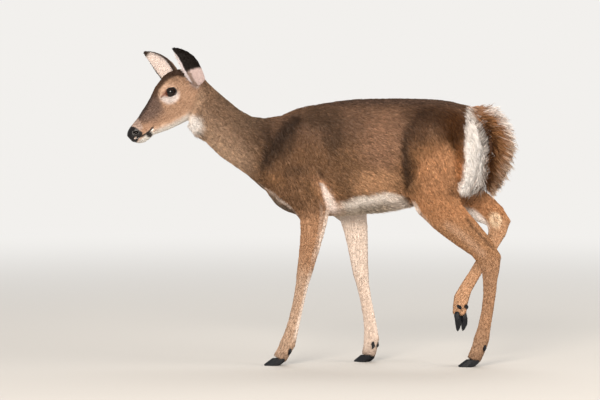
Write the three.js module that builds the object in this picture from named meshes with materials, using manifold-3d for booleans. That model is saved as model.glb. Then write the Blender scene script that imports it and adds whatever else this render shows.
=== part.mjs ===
// A white-tailed deer, an adult doe at life size, walking with one hind foot lifted.
// Millimetres, +Z up. The doe faces -X, so its left side is -Y and its right side +Y.
import * as THREE from "three";
import { ConvexGeometry } from "three/addons/geometries/ConvexGeometry.js";
import { LoftGeometry } from "three/addons/geometries/LoftGeometry.js";
import { mergeVertices } from "three/addons/utils/BufferGeometryUtils.js";
import Module from "manifold-3d";

const wasm = await Module();
wasm.setup();

const degrees = THREE.MathUtils.degToRad;
const vector = (x, y, z) => new THREE.Vector3(x, y, z);
const left = -1;
const right = 1;

// Driving dimensions.
const gap = 0.3; // the thin cut between two neighbours
const headPitch = degrees(42); // how far the muzzle points below level
const headYaw = degrees(11); // how far the head is turned to the left
const headOrigin = vector(-439, -18, 924); // in the middle of the skull, behind the eyes
const eyeRadius = 18;
const eyePlace = { along: 58, up: 37, out: 42 }; // in the head's own frame
const earHalfWidth = 36.5;
const earThickness = 4.5;
const earStations = [0, 0.12, 0.25, 0.4, 0.56, 0.71, 0.83, 0.92, 0.98, 1]; // from the root to the tip
const clawLength = 69;
const clawWidth = 23;
const coronetHeight = 24; // from the sole to the top of the hoof
const dewclawLength = 24;
const dewclawWidth = 13;
const dewclawReach = 28; // behind the middle of the pastern

// Each row: top x, top z, bottom x, bottom z, half width, level of the widest place (-1 low to 1 high).
const trunkRows = [
  [-184, 806, -200, 600, 55, 0],
  [-141, 832, -154, 535, 80, -0.1],
  [-90, 855, -104, 505, 98, -0.15],
  [-37, 869, -34, 491, 110, -0.2],
  [30, 880, 44, 495, 119, -0.2],
  [104, 890, 121, 505, 127, -0.15],
  [184, 893, 201, 512, 134, -0.1],
  [265, 893, 275, 525, 132, -0.05],
  [335, 893, 352, 542, 123, 0],
  [405, 888, 426, 556, 112, 0.1],
  [459, 878, 490, 575, 94, 0.15],
  [500, 863, 530, 600, 68, 0.15],
  [526, 826, 546, 660, 34, 0.1],
];
const neckRows = [
  [-430, 962, -440, 840, 40, 0],
  [-393, 960, -446, 797, 46, 0],
  [-361, 927, -427, 769, 49, 0],
  [-318, 890, -389, 743, 51, -0.05],
  [-275, 855, -342, 697, 55, -0.1],
  [-234, 832, -298, 666, 62, -0.1],
  [-194, 826, -251, 634, 72, -0.1],
  [-144, 833, -204, 592, 80, -0.1],
  [-85, 836, -148, 552, 84, -0.1],
];
const tailRows = [
  [455, 868, 470, 800, 22, 0],
  [490, 877, 497, 790, 28, 0],
  [530, 876, 520, 770, 34, 0],
  [569, 866, 528, 746, 40, 0],
  [609, 836, 534, 714, 45, 0],
  [635, 788, 538, 684, 47, 0],
  [641, 735, 538, 658, 47, 0],
  [631, 686, 537, 634, 44, 0],
  [614, 640, 537, 612, 38, 0],
  [597, 600, 541, 590, 28, 0],
  [580, 572, 552, 574, 10, 0],
];

// Rows in the head's own frame: place along the face, top, bottom, half width, level of the widest place.
const headRows = [
  [-40, 42, -70, 30, 0],
  [-28, 60, -82, 40, 0.1],
  [-14, 73, -86, 46, 0.15],
  [2, 82, -87, 50, 0.2],
  [20, 88, -86, 53, 0.25],
  [40, 89, -83, 55, 0.33],
  [62, 84, -79, 55, 0.4],
  [84, 80, -75, 47, 0.35],
  [121, 65, -64, 35, 0.2],
  [147, 57, -55.5, 30, 0.1],
  [171, 51, -45, 28, 0],
  [194, 44, -35, 26.5, 0],
  [214, 41, -35, 25.5, 0],
  [235, 38, -32, 24.5, 0],
  [250, 33, -22, 21, 0.1],
  [262, 24, -4, 13, 0],
];
// The lower jaw, below the mouth line, along the face and up from it.
const jawOutline = [[300, -9], [250, -9], [178, -17], [96, -46], [60, -110], [300, -110]];
const noseCut = { along: 238, up: 20, slant: degrees(21) }; // the bare nose pad lies in front of this

// Each ear's root, tip and the way its cup opens, in the body's frame.
const ears = {
  ear_left: { root: vector(-395, -56, 946), tip: vector(-489, -98, 1059), opening: vector(-0.86, 0.5, -0.1) },
  ear_right: { root: vector(-475, 26, 937), tip: vector(-601, 60, 1041), opening: vector(-0.78, -0.62, 0.1) },
};

// Girths along a leg, as rows: place along the bones (bone number and fraction), depth, width, forward shift.
const foreGirths = [
  [0, 112, 36, 0],
  [0.5, 216, 78, 0],
  [1, 246, 92, 0],
  [1.5, 208, 88, 0],
  [1.82, 140, 74, -4],
  [2.08, 96, 58, -3],
  [2.32, 83, 50, 0],
  [2.58, 71, 45, 0],
  [2.8, 61, 43, 0],
  [3, 54, 44, 0],
  [3.16, 44, 38, 0],
  [3.4, 39, 32, 0],
  [3.64, 41, 31, 0],
  [3.84, 46, 35, 0],
  [4, 53, 41, 0],
  [4.4, 48, 42, 0],
  [5.1, 47, 44, 0],
];
const hindGirths = [
  [0, 160, 44, 0],
  [0.5, 236, 90, 0],
  [1, 250, 100, 0],
  [1.6, 216, 94, 0],
  [2, 160, 82, 0],
  [2.25, 126, 66, 0],
  [2.45, 115, 56, 0],
  [2.63, 103, 50, 0],
  [2.82, 88, 45, -3],
  [3, 84, 46, -8],
  [3.14, 62, 42, -4],
  [3.26, 50, 38, 0],
  [3.42, 44, 33, 0],
  [3.62, 41, 31, 0],
  [3.84, 44, 34, 0],
  [4, 53, 41, 0],
  [4.4, 49, 42, 0],
  [5.1, 47, 44, 0],
];

// The joints of each leg from the shoulder or hip down: x, z, and the distance out from the middle plane.
// A foot's yaw turns its toes outward and its drop points them down; a foot on the ground has no drop.
const legs = {
  fore_left: {
    side: left,
    girths: foreGirths,
    joints: [[-58, 806, 46], [-72, 660, 68], [-22, 505, 72], [-50, 312, 72], [-105, 76, 74], [-133, 24, 75]],
    yaw: 4,
    drop: 0,
  },
  fore_right: {
    side: right,
    girths: foreGirths,
    joints: [[-46, 800, 46], [-18, 650, 68], [96, 505, 72], [130, 300, 72], [166, 80, 72], [156, 24, 72]],
    yaw: 28,
    drop: 0,
  },
  hind_left: {
    side: left,
    girths: hindGirths,
    joints: [[408, 832, 56], [396, 656, 76], [398, 545, 82], [560, 356, 74], [543, 96, 76], [516, 24, 78]],
    yaw: 6,
    drop: 0,
  },
  hind_right: {
    side: right,
    girths: hindGirths,
    joints: [[426, 828, 56], [434, 680, 76], [438, 590, 82], [586, 470, 66], [470, 220, 56], [463, 163, 54]],
    yaw: 60,
    drop: 72,
  },
};
const legCuts = [1.95, 3, 3.95]; // elbow or stifle, knee or hock, fetlock
const legNames = {
  fore: ["shoulder", "forearm", "fore_cannon", "fore_pastern"],
  hind: ["thigh", "gaskin", "hind_cannon", "hind_pastern"],
};

const finish = (color, roughness) => new THREE.MeshStandardMaterial({ color, roughness, metalness: 0 });
const coat = finish(0x8a7460, 0.9);
const legCoat = finish(0xa88563, 0.9);
const whiteCoat = finish(0xe6ddd0, 0.9);
const hornBlack = finish(0x1e1f24, 0.45);
const eyeBlack = finish(0x120c09, 0.08);
const noseBlack = finish(0x17161a, 0.5);

// Catmull-Rom rows between the given ones, the same in every column.
function smooth(rows, steps) {
  const out = [];
  for (let i = 0; i < rows.length - 1; i++) {
    const [a, b, c, d] = [-1, 0, 1, 2].map((k) => rows[THREE.MathUtils.clamp(i + k, 0, rows.length - 1)]);
    for (let k = 0; k < steps; k++) {
      const t = k / steps;
      out.push(b.map((_, j) => {
        const bend = (2 * a[j] - 5 * b[j] + 4 * c[j] - d[j]) * t * t;
        const turn = (3 * b[j] - a[j] - 3 * c[j] + d[j]) * t * t * t;
        return b[j] + 0.5 * ((c[j] - a[j]) * t + bend + turn);
      }));
    }
  }
  out.push(rows[rows.length - 1]);
  return out;
}

// An egg-shaped ring from its top point round its left side to its bottom point and back.
function ring(top, bottom, halfWidth, widest, count) {
  const middle = top.clone().add(bottom).multiplyScalar(0.5);
  const rise = top.clone().sub(middle);
  const points = [];
  for (let i = 0; i < count; i++) {
    const angle = (2 * Math.PI * i) / count;
    const height = Math.cos(angle) + widest * Math.sin(angle) ** 2;
    points.push(middle.clone().addScaledVector(rise, height).add(vector(0, -halfWidth * Math.sin(angle), 0)));
  }
  return points;
}

function loft(rings) {
  return new LoftGeometry(rings, { capStart: true, capEnd: true });
}

// The solid of a closed geometry, moved by a matrix.
function solid(geometry, matrix = new THREE.Matrix4()) {
  const bare = new THREE.BufferGeometry();
  bare.setAttribute("position", geometry.attributes.position.clone());
  bare.setIndex(geometry.index);
  const merged = mergeVertices(bare.applyMatrix4(matrix), 1e-4);
  return new wasm.Manifold(new wasm.Mesh({
    numProp: 3,
    vertProperties: merged.attributes.position.array,
    triVerts: new Uint32Array(merged.index.array),
  }));
}

// The solid of a mesh where it stands, a little larger all round if asked.
function solidOf(mesh, grow = 0) {
  mesh.updateWorldMatrix(true, false);
  mesh.geometry.computeBoundingSphere();
  const { center, radius } = mesh.geometry.boundingSphere;
  const larger = new THREE.Matrix4()
    .makeTranslation(center)
    .scale(vector(1, 1, 1).multiplyScalar(1 + grow / radius))
    .multiply(new THREE.Matrix4().makeTranslation(center.clone().negate()));
  return solid(mesh.geometry, mesh.matrixWorld.clone().multiply(larger));
}

function bodyLoft(rows, steps, count) {
  const rings = smooth(rows, steps).map(([topX, topZ, bottomX, bottomZ, halfWidth, widest]) =>
    ring(vector(topX, 0, topZ), vector(bottomX, 0, bottomZ), halfWidth, widest, count));
  return solid(loft(rings));
}

// The head's own frame: the face runs along its -X, and its +Z stands up from the brow.
function headGroup() {
  const group = new THREE.Group();
  group.position.copy(headOrigin);
  group.rotation.set(0, -headPitch, headYaw, "ZYX");
  group.updateMatrixWorld();
  return group;
}

function head(frame) {
  const rings = headRows.map(([along, top, bottom, halfWidth, widest]) =>
    ring(vector(-along, 0, top), vector(-along, 0, bottom), halfWidth, widest, 20));
  return solid(loft(rings.reverse()), frame);
}

// The smooth curve through a leg's joints, and where along it a place lies.
function legCurve({ side, joints }) {
  const curve = new THREE.CatmullRomCurve3(joints.map(([x, z, out]) => vector(x, side * out, z)));
  const last = joints.length - 1;
  return (place) => {
    const t = Math.min(place / last, 1);
    const down = curve.getTangent(t);
    const centre = curve.getPoint(t).addScaledVector(down, Math.max(place - last, 0) * 60);
    return { centre, down, forward: vector(down.z, 0, -down.x).normalize() };
  };
}

function leg(spec, count) {
  const at = legCurve(spec);
  const rings = spec.girths.map(([place, depth, width, shift]) => {
    const { centre, forward } = at(place);
    const front = centre.clone().addScaledVector(forward, shift + depth / 2);
    const rear = centre.clone().addScaledVector(forward, shift - depth / 2);
    return ring(rear, front, width / 2, 0, count);
  });
  return solid(loft(rings));
}

// A room between two distances to the side, in blocks between successive pairs of (x, z) edge points.
function room(edges, from, to) {
  const corners = edges.map((pair) => pair.flatMap(([x, z]) => [vector(x, from, z), vector(x, to, z)]));
  const blocks = corners.slice(1).map((next, i) => solid(new ConvexGeometry([...corners[i], ...next])));
  return blocks.reduce((a, b) => a.add(b));
}

// The room of a leg: its outline from the side and a margin, from near the middle plane outwards.
function legRoom(spec, margin, inner) {
  const at = legCurve(spec);
  const edges = spec.girths.map(([place, depth, , shift]) => {
    const { centre, down, forward } = at(place);
    centre.addScaledVector(down, place === 0 ? -margin : 0);
    return [1, -1].map((sign) => {
      const edge = centre.clone().addScaledVector(forward, shift + sign * (depth / 2 + margin));
      return [edge.x, edge.z];
    });
  });
  return room(edges, spec.side * inner, spec.side * 200);
}

// The room of the tail behind its second ring.
function tailRoom(margin) {
  const edges = tailRows.slice(1).map(([topX, topZ, bottomX, bottomZ], i) => {
    const back = i ? 0 : -margin;
    const [x, z] = [topX - bottomX, topZ - bottomZ].map((v) => (v / Math.hypot(topX - bottomX, topZ - bottomZ)) * margin);
    return [[topX + x + back, topZ + z], [bottomX - x + back, bottomZ - z]];
  });
  return room(edges, -80 - margin, 80 + margin);
}

// The room of the lower jaw, a convex outline in the head's frame with a margin all round.
function jawRoom(margin, frame) {
  const points = jawOutline.flatMap(([along, up]) =>
    [0, 1, 2, 3, 4, 5, 6, 7].flatMap((k) => [-80, 80].map((y) =>
      vector(-along + margin * Math.cos((k * Math.PI) / 4), y, up + margin * Math.sin((k * Math.PI) / 4)))));
  return solid(new ConvexGeometry(points), frame);
}

// A claw stands on its own frame: toe towards -X, sole at z = 0, its inner wall near y = 0, its heel rounded up.
function claw(side, length, width, height) {
  const count = 8;
  const outline = (scale, lift, heel) => {
    const points = [];
    for (let i = 0; i < count; i++) {
      const angle = (2 * Math.PI * i) / count;
      const toward = (1 - Math.cos(angle)) / 2; // 0 at the heel, 1 at the toe
      const x = length * (0.24 - toward * scale - heel * (1 - toward)) + lift * 0.1;
      const bulge = Math.sin(angle) * (1 - 0.5 * toward ** 3) * (0.5 + scale / 2);
      const y = 1 + (width / 2) * (1 + bulge - 0.25 * toward ** 2);
      points.push(vector(x, side * y, lift));
    }
    return side > 0 ? points : points.reverse();
  };
  return loft([
    outline(0.97, 0, 0.28), outline(1, 3, 0.19), outline(0.82, height * 0.55, 0.03), outline(0.62, height, 0),
  ]);
}

// A leaf-shaped ear from its root to its tip: a cup of even thickness, rolled at the root and open at the tip.
function ear({ root, tip, opening }, grow) {
  const axis = tip.clone().sub(root).normalize();
  const across = vector(0, 0, 0).crossVectors(axis, opening).normalize();
  const out = vector(0, 0, 0).crossVectors(across, axis).normalize();
  const arcSteps = 5;
  const rings = [];
  for (const s of earStations) {
    const leaf = 0.58 + 0.42 * Math.sin(Math.PI * Math.min(s / 0.95, 1));
    const point = Math.sqrt(1 - Math.max((s - 0.5) / 0.505, 0) ** 2.4);
    const half = earHalfWidth * leaf * point + grow;
    const curl = THREE.MathUtils.lerp(2.2, 0.8, s); // half the angle of the arc that the ear's wall follows
    const radius = half / Math.sin(Math.min(curl, Math.PI / 2));
    const bow = -14 * Math.sin(Math.PI * s);
    const centre = root.clone().lerp(tip, s).addScaledVector(out, bow + radius * 0.35);
    const thickness = Math.min(earThickness, half) + 2 * grow;
    const arc = (r, order) => order.map((k) => {
      const angle = curl * ((2 * k) / arcSteps - 1);
      return centre.clone().addScaledVector(across, r * Math.sin(angle)).addScaledVector(out, -r * Math.cos(angle));
    });
    const order = [...Array(arcSteps + 1).keys()];
    rings.push([...arc(radius - thickness, order), ...arc(radius, order.reverse())]);
  }
  return solid(loft(rings));
}

// The largest body of a solid: a cut can leave crumbs beside it.
function mainBody(made) {
  return made.decompose().reduce((a, b) => (a.volume() > b.volume() ? a : b));
}

// Cuts a solid by a plane, half the gap off each side: [the side its normal points to, the other side].
function cut(made, point, normal) {
  const n = normal.clone().normalize();
  const level = n.dot(point);
  return [
    made.trimByPlane(n.toArray(), level + gap / 2),
    made.trimByPlane(n.clone().negate().toArray(), gap / 2 - level),
  ];
}

function meshFrom(name, made, material) {
  const { vertProperties, triVerts } = mainBody(made).getMesh();
  const geometry = new THREE.BufferGeometry();
  geometry.setAttribute("position", new THREE.BufferAttribute(vertProperties, 3));
  geometry.setIndex(new THREE.BufferAttribute(triVerts, 1));
  geometry.computeVertexNormals();
  return namedMesh(name, geometry, material);
}

function namedMesh(name, geometry, material) {
  const mesh = new THREE.Mesh(geometry, material.clone());
  mesh.name = name;
  return mesh;
}

const doe = new THREE.Group();
const hard = []; // the meshes that the flesh is cut clear of

// Eyes, in the head's frame.
const skull = headGroup();
doe.add(skull);
for (const [name, side] of [["eye_left", left], ["eye_right", right]]) {
  const eye = namedMesh(name, new THREE.SphereGeometry(eyeRadius, 12, 8), eyeBlack);
  eye.position.set(-eyePlace.along, side * eyePlace.out, eyePlace.up);
  skull.add(eye);
  hard.push(eye);
}

// Feet: two claws and two dewclaws each, in a frame at the middle of the sole.
for (const [name, spec] of Object.entries(legs)) {
  const at = legCurve(spec);
  const coronet = at(5).centre;
  const foot = new THREE.Group();
  foot.rotation.set(0, -degrees(spec.drop), -spec.side * degrees(spec.yaw), "ZYX");
  foot.updateMatrixWorld();
  foot.position.copy(coronet).sub(vector(0, 0, coronetHeight).applyMatrix4(foot.matrixWorld));
  doe.add(foot);
  const pastern = foot.worldToLocal(at(4).centre).sub(vector(0, 0, coronetHeight));
  const behind = vector(0, 0, coronetHeight + 6)
    .addScaledVector(pastern, 0.6)
    .add(vector(pastern.z, 0, -pastern.x).setLength(dewclawReach));
  for (const [place, side] of [["outer", spec.side], ["inner", -spec.side]]) {
    const hoof = namedMesh(`hoof_${name}_${place}`, claw(side, clawLength, clawWidth, coronetHeight), hornBlack);
    const dewclaw = namedMesh(`dewclaw_${name}_${place}`, claw(side, dewclawLength, dewclawWidth, 12), hornBlack);
    dewclaw.position.set(behind.x, side * 6, behind.z);
    dewclaw.rotation.y = -degrees(55);
    foot.add(hoof, dewclaw);
    hard.push(hoof, dewclaw);
  }
}

// The flesh is made whole, cleared round the hard parts, and then parted by thin cuts.
let flesh = bodyLoft(trunkRows, 2, 18)
  .add(bodyLoft(neckRows, 1, 18))
  .add(bodyLoft(tailRows, 1, 12))
  .add(head(skull.matrixWorld));
for (const spec of Object.values(legs)) {
  const { centre, down } = legCurve(spec)(5);
  flesh = flesh.add(cut(leg(spec, 10), centre, down)[1]);
}
for (const mesh of hard) flesh = flesh.subtract(solidOf(mesh, gap));
for (const [name, spec] of Object.entries(ears)) {
  doe.add(meshFrom(name, ear(spec, 0), coat));
  flesh = flesh.subtract(ear(spec, gap));
}

// Takes what lies in a room out of the flesh, with a gap all round it.
function take(room, largerRoom) {
  const taken = flesh.intersect(room);
  flesh = flesh.subtract(largerRoom);
  return taken;
}

for (const [name, spec] of Object.entries(legs)) {
  const [pair, sideName] = name.split("_");
  let rest = take(legRoom(spec, 6, 28), legRoom(spec, 6 + gap, 28 - gap));
  legCuts.forEach((place, i) => {
    const { centre, down } = legCurve(spec)(place);
    const [below, above] = cut(rest, centre, down);
    doe.add(meshFrom(`${legNames[pair][i]}_${sideName}`, above, i ? legCoat : coat));
    rest = below;
  });
  doe.add(meshFrom(`${legNames[pair][3]}_${sideName}`, rest, legCoat));
}

doe.add(meshFrom("tail", take(tailRoom(1), tailRoom(1 + gap)), coat));

// The head comes off at the throat, and the lower jaw and the nose pad off the head.
let [rest, face] = cut(flesh, vector(-420, 0, 880), vector(0.934, 0, -0.355));
const nosePoint = vector(-noseCut.along, 0, noseCut.up).applyMatrix4(skull.matrixWorld);
const noseWay = vector(-Math.cos(noseCut.slant), 0, Math.sin(noseCut.slant)).transformDirection(skull.matrixWorld);
const [nose, behindNose] = cut(face, nosePoint, noseWay);
doe.add(meshFrom("nose", nose, noseBlack));
doe.add(meshFrom("lower_jaw", behindNose.intersect(jawRoom(0, skull.matrixWorld)), whiteCoat));
doe.add(meshFrom("head", behindNose.subtract(jawRoom(gap, skull.matrixWorld)), coat));

let piece;
[rest, piece] = cut(rest, vector(-222, 0, 728), vector(0.957, 0, -0.289));
doe.add(meshFrom("neck", piece, coat));
[rest, piece] = cut(rest, vector(150, 0, 700), vector(1, 0, 0));
doe.add(meshFrom("chest", piece, coat));
[rest, piece] = cut(rest, vector(330, 0, 700), vector(1, 0, 0));
doe.add(meshFrom("belly", piece, whiteCoat));
doe.add(meshFrom("rump", rest, coat));

// The origin is the middle of the ground under the doe.
const box = new THREE.Box3().setFromObject(doe);
const middle = box.getCenter(vector(0, 0, 0));
doe.position.set(-middle.x, -middle.y, -box.min.z);

export default doe;
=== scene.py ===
# White-tailed deer, a doe in mid-step, as a still life-size model.
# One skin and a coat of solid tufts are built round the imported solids.
import math

import bmesh
import bpy
import numpy as np
from mathutils import Matrix, Vector
from mathutils.bvhtree import BVHTree
from mathutils.kdtree import KDTree


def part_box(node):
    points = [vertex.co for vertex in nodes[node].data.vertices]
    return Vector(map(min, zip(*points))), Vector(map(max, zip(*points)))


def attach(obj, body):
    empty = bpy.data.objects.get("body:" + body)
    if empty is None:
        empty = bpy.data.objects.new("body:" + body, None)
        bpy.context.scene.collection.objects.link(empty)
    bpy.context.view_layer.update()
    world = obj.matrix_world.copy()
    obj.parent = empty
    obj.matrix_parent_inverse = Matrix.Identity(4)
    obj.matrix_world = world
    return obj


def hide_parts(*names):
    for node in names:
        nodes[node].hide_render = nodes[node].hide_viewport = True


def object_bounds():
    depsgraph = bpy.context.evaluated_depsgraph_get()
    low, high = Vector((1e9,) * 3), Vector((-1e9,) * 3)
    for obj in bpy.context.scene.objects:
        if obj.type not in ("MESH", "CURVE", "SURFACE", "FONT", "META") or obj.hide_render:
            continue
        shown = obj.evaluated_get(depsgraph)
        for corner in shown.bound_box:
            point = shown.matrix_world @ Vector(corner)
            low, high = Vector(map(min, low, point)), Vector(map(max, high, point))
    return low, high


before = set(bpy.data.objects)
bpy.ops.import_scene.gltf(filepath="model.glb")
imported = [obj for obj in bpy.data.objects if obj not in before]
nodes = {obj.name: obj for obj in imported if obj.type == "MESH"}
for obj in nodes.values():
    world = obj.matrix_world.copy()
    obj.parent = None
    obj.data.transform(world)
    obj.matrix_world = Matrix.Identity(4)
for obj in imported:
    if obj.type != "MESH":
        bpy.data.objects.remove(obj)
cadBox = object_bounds()
scene = bpy.context.scene
scene.view_settings.view_transform = "Standard"
mm = 0.001


# Small helpers

def hexColour(code):  # sRGB hex to linear light
    srgb = np.array([int(code[i:i + 2], 16) for i in (1, 3, 5)]) / 255
    return np.where(srgb <= 0.04045, srgb / 12.92, ((srgb + 0.055) / 1.055) ** 2.4)


def rgba(code):
    return (*hexColour(code), 1.0)


def addNode(tree, kind, inputs=None, **settings):  # inputs are constants, or sockets to link
    node = tree.nodes.new("ShaderNode" + kind)
    for name, value in settings.items():
        setattr(node, name, value)
    for name, value in (inputs or {}).items():
        if isinstance(value, bpy.types.NodeSocket):
            tree.links.new(value, node.inputs[name])
        else:
            node.inputs[name].default_value = value
    return node


def newMaterial(name):
    material = bpy.data.materials.new(name)
    material.use_nodes = True
    material.node_tree.nodes.clear()
    return material, material.node_tree


def finishMaterial(tree, shader):
    addNode(tree, "OutputMaterial", {"Surface": shader.outputs[0]})


def mapRange(tree, value, start, end, first=0.0, last=1.0, **settings):
    return addNode(tree, "MapRange", {"Value": value, "From Min": start, "From Max": end, "To Min": first,
                                      "To Max": last}, **settings).outputs[0]


def noiseIn(tree, place, scale, detail, roughness=0.5):
    return addNode(tree, "TexNoise", {"Vector": place.outputs["Object"], "Scale": scale, "Detail": detail,
                                      "Roughness": roughness}).outputs[0]


def mixColour(tree, share, first, second):
    return addNode(tree, "Mix", {0: share, 6: first, 7: second}, data_type="RGBA").outputs[2]


def tickedColour(tree, noise, darkest):  # the painted colour, made darker and lighter by a noise
    colour = addNode(tree, "Attribute", attribute_name="coatColour").outputs["Color"]
    shade = mapRange(tree, noise, 0.3, 0.7, darkest, 1.12)
    return addNode(tree, "VectorMath", {0: colour, 1: shade}, operation="MULTIPLY").outputs[0]


def ramp(value, start, end):  # smooth step, 0 at start and 1 at end
    t = np.clip((value - start) / (end - start), 0, 1)
    return t * t * (3 - 2 * t)


def fall(value, start, end):  # the same downwards
    return 1 - ramp(value, start, end)


def unit(rows):
    return rows / np.maximum(np.linalg.norm(rows, axis=-1, keepdims=True), 1e-9)


noiseTable = np.random.default_rng(7).random(4096) * 2 - 1


def mottle(points, size, shift=0.0):  # a smooth random value from -1 to 1, in lumps about size across
    q = points / size + shift * 17.3
    low = np.floor(q).astype(np.int64)
    f = q - low
    f = f * f * (3 - 2 * f)
    total = np.zeros(len(points))
    for corner in np.ndindex(2, 2, 2):
        x, y, z = (low + np.array(corner)).T
        weight = np.prod(np.abs(1 - np.array(corner) - f), axis=1)
        total += noiseTable[(x * 73856093 ^ y * 19349663 ^ z * 83492791) & 4095] * weight
    return total


def streaked(points, way, size, shift=0.0):  # the same, drawn out along the hair
    return mottle(points - way * (points * way).sum(axis=1, keepdims=True) * 0.72, size, shift)


def nearLine(points, corners):  # distance to an open line of corners, its signed side, and the offset from it
    best, side, offset = np.full(len(points), 1e9), np.zeros(len(points)), np.zeros(points.shape)
    for a, b in zip(np.array(corners[:-1], float), np.array(corners[1:], float)):
        way = b - a
        t = np.clip((points - a) @ way / (way @ way), 0, 1)
        off = points - a - t[:, None] * way
        distance = np.linalg.norm(off, axis=1)
        closer = distance < best
        best = np.where(closer, distance, best)
        side = np.where(closer, np.sign(way[0] * off[:, 1] - way[1] * off[:, 0]), side)
        offset = np.where(closer[:, None], off, offset)
    return best, side, offset


def lineAway(points, corners):
    return nearLine(points, corners)[0]


def readVertices(mesh, what="co"):
    rows = np.zeros(len(mesh.vertices) * 3, np.float32)
    mesh.vertices.foreach_get(what, rows)
    return rows.reshape(-1, 3).astype(float)


def moveVertices(mesh, rows):
    mesh.vertices.foreach_set("co", rows.astype(np.float32).ravel())
    mesh.update()


def newObject(name, mesh):
    made = bpy.data.objects.new(name, mesh)
    scene.collection.objects.link(made)
    return made


def openMesh(mesh):
    bm = bmesh.new()
    bm.from_mesh(mesh)
    return bm


def closeMesh(bm, mesh):  # into a mesh, or into a new one of this name
    if isinstance(mesh, str):
        mesh = bpy.data.meshes.new(mesh)
    bm.to_mesh(mesh)
    bm.free()
    return mesh


# Stage: camera, lights, floor

cameraPlace = {"azimuth": 4.0, "elevation": 3.5, "distance": 17.0, "lens": 304.5,
               "aimOffset": (-0.0674, 0, 0.0185)}

lampList = {
    "key": {"at": (-0.7, -6.0, 3.0), "size": 2.4, "watts": 400, "colour": "#fff2e4"},
    "fill": {"at": (-4.6, -2.6, 1.8), "size": 5.0, "watts": 90, "colour": "#f2f5ff"},
    "rear": {"at": (4.6, -1.2, 2.2), "size": 4.0, "watts": 200, "colour": "#fff6ee"},
    "top": {"at": (0.3, 2.6, 4.4), "size": 3.2, "watts": 120, "colour": "#ffffff"},
}
surround = {"light": "#f4f2ef", "strength": 0.6, "shown": "#f2f0ed", "floor": "#bebbb6", "floorSize": 500.0,
            "fadeFrom": 1.3, "fadeTo": 6.5}


def makeCamera():
    boxCentre = (cadBox[0] + cadBox[1]) / 2
    aim = boxCentre + Vector(cameraPlace["aimOffset"])
    azimuth, elevation = math.radians(cameraPlace["azimuth"]), math.radians(cameraPlace["elevation"])
    back = Vector((math.sin(azimuth) * math.cos(elevation), -math.cos(azimuth) * math.cos(elevation),
                   math.sin(elevation)))
    camera = bpy.data.objects.new("camera", bpy.data.cameras.new("camera"))
    camera.data.lens = cameraPlace["lens"]
    camera.data.sensor_width = 36
    camera.data.clip_end = 200
    camera.location = aim + back * cameraPlace["distance"]
    camera.rotation_mode = "QUATERNION"
    camera.rotation_quaternion = (-back).to_track_quat("-Z", "Y")
    scene.collection.objects.link(camera)
    scene.camera = camera


def makeLamps():
    aim = (cadBox[0] + cadBox[1]) / 2
    for name, lamp in lampList.items():
        data = bpy.data.lights.new(name, "AREA")
        data.shape = "DISK"
        data.size = lamp["size"]
        data.energy = lamp["watts"]
        data.color = hexColour(lamp["colour"])
        made = bpy.data.objects.new(name, data)
        made.location = lamp["at"]
        made.rotation_mode = "QUATERNION"
        made.rotation_quaternion = (aim - Vector(lamp["at"])).to_track_quat("-Z", "Y")
        made.visible_glossy = name == "key"  # one highlight in the eyes and on the nose
        scene.collection.objects.link(made)


def makeSurround():
    world = bpy.data.worlds.new("studio")
    scene.world = world
    world.use_nodes = True
    tree = world.node_tree
    tree.nodes.clear()
    path = addNode(tree, "LightPath")
    lit = addNode(tree, "Background", {"Color": rgba(surround["light"]), "Strength": surround["strength"]})
    shown = addNode(tree, "Background", {"Color": rgba(surround["shown"]), "Strength": 1.0})
    seen = path.outputs["Is Camera Ray"]
    mix = addNode(tree, "MixShader", {0: seen, 1: lit.outputs[0], 2: shown.outputs[0]})
    addNode(tree, "OutputWorld", {"Surface": mix.outputs[0]})

    bm = bmesh.new()
    bmesh.ops.create_grid(bm, x_segments=1, y_segments=1, size=surround["floorSize"] / 2)
    floor = newObject("studioFloor", closeMesh(bm, "studioFloor"))
    # Matt painted studio floor: it takes the shadow near the deer and pales into the background further off.
    material, tree = newMaterial("paleStudioFloor")
    place = addNode(tree, "TexCoord")
    path = addNode(tree, "LightPath")
    away = addNode(tree, "VectorMath", {0: place.outputs["Object"]}, operation="LENGTH")
    fade = mapRange(tree, away.outputs["Value"], surround["fadeFrom"], surround["fadeTo"],
                    interpolation_type="SMOOTHSTEP")
    share = addNode(tree, "Math", {0: fade, 1: path.outputs["Is Camera Ray"]}, operation="MULTIPLY")
    matt = addNode(tree, "BsdfPrincipled", {"Base Color": rgba(surround["floor"]), "Roughness": 0.85})
    pale = addNode(tree, "Emission", {"Color": rgba(surround["shown"]), "Strength": 1.0})
    mix = addNode(tree, "MixShader", {0: share.outputs[0], 1: matt.outputs[0], 2: pale.outputs[0]})
    finishMaterial(tree, mix)
    floor.data.materials.append(material)


makeCamera()
makeLamps()
makeSurround()
print("stage: camera, lamps and floor")

# The head's own frame
# Its axes are along the face towards the nose, out to a side, and up from the brow, in mm.

headSet = {"pitch": 42.0, "yaw": 11.0, "eyeAlong": 58.0, "eyeUp": 37.0}

headTurn = np.array(Matrix.Rotation(math.radians(headSet["yaw"]), 3, "Z")
                    @ Matrix.Rotation(math.radians(-headSet["pitch"]), 3, "Y"))
eyeCorners = [corner for name in ("eye_left", "eye_right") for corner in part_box(name)]
betweenEyes = np.array(sum(eyeCorners, Vector()) / len(eyeCorners))
headOrigin = betweenEyes - headTurn @ np.array([-headSet["eyeAlong"], 0, headSet["eyeUp"]]) * mm


def headWay(along, out, up, side=-1):  # side -1 is the deer's left, which has the lower y
    return headTurn @ np.array([-along, out * side, up])


def inHead(points):  # rows of along, out (0 or more) and up, and the side
    local = (points - headOrigin) @ headTurn / mm
    return np.column_stack([-local[:, 0], np.abs(local[:, 1]), local[:, 2]]), np.where(local[:, 1] < 0, -1, 1)


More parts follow.
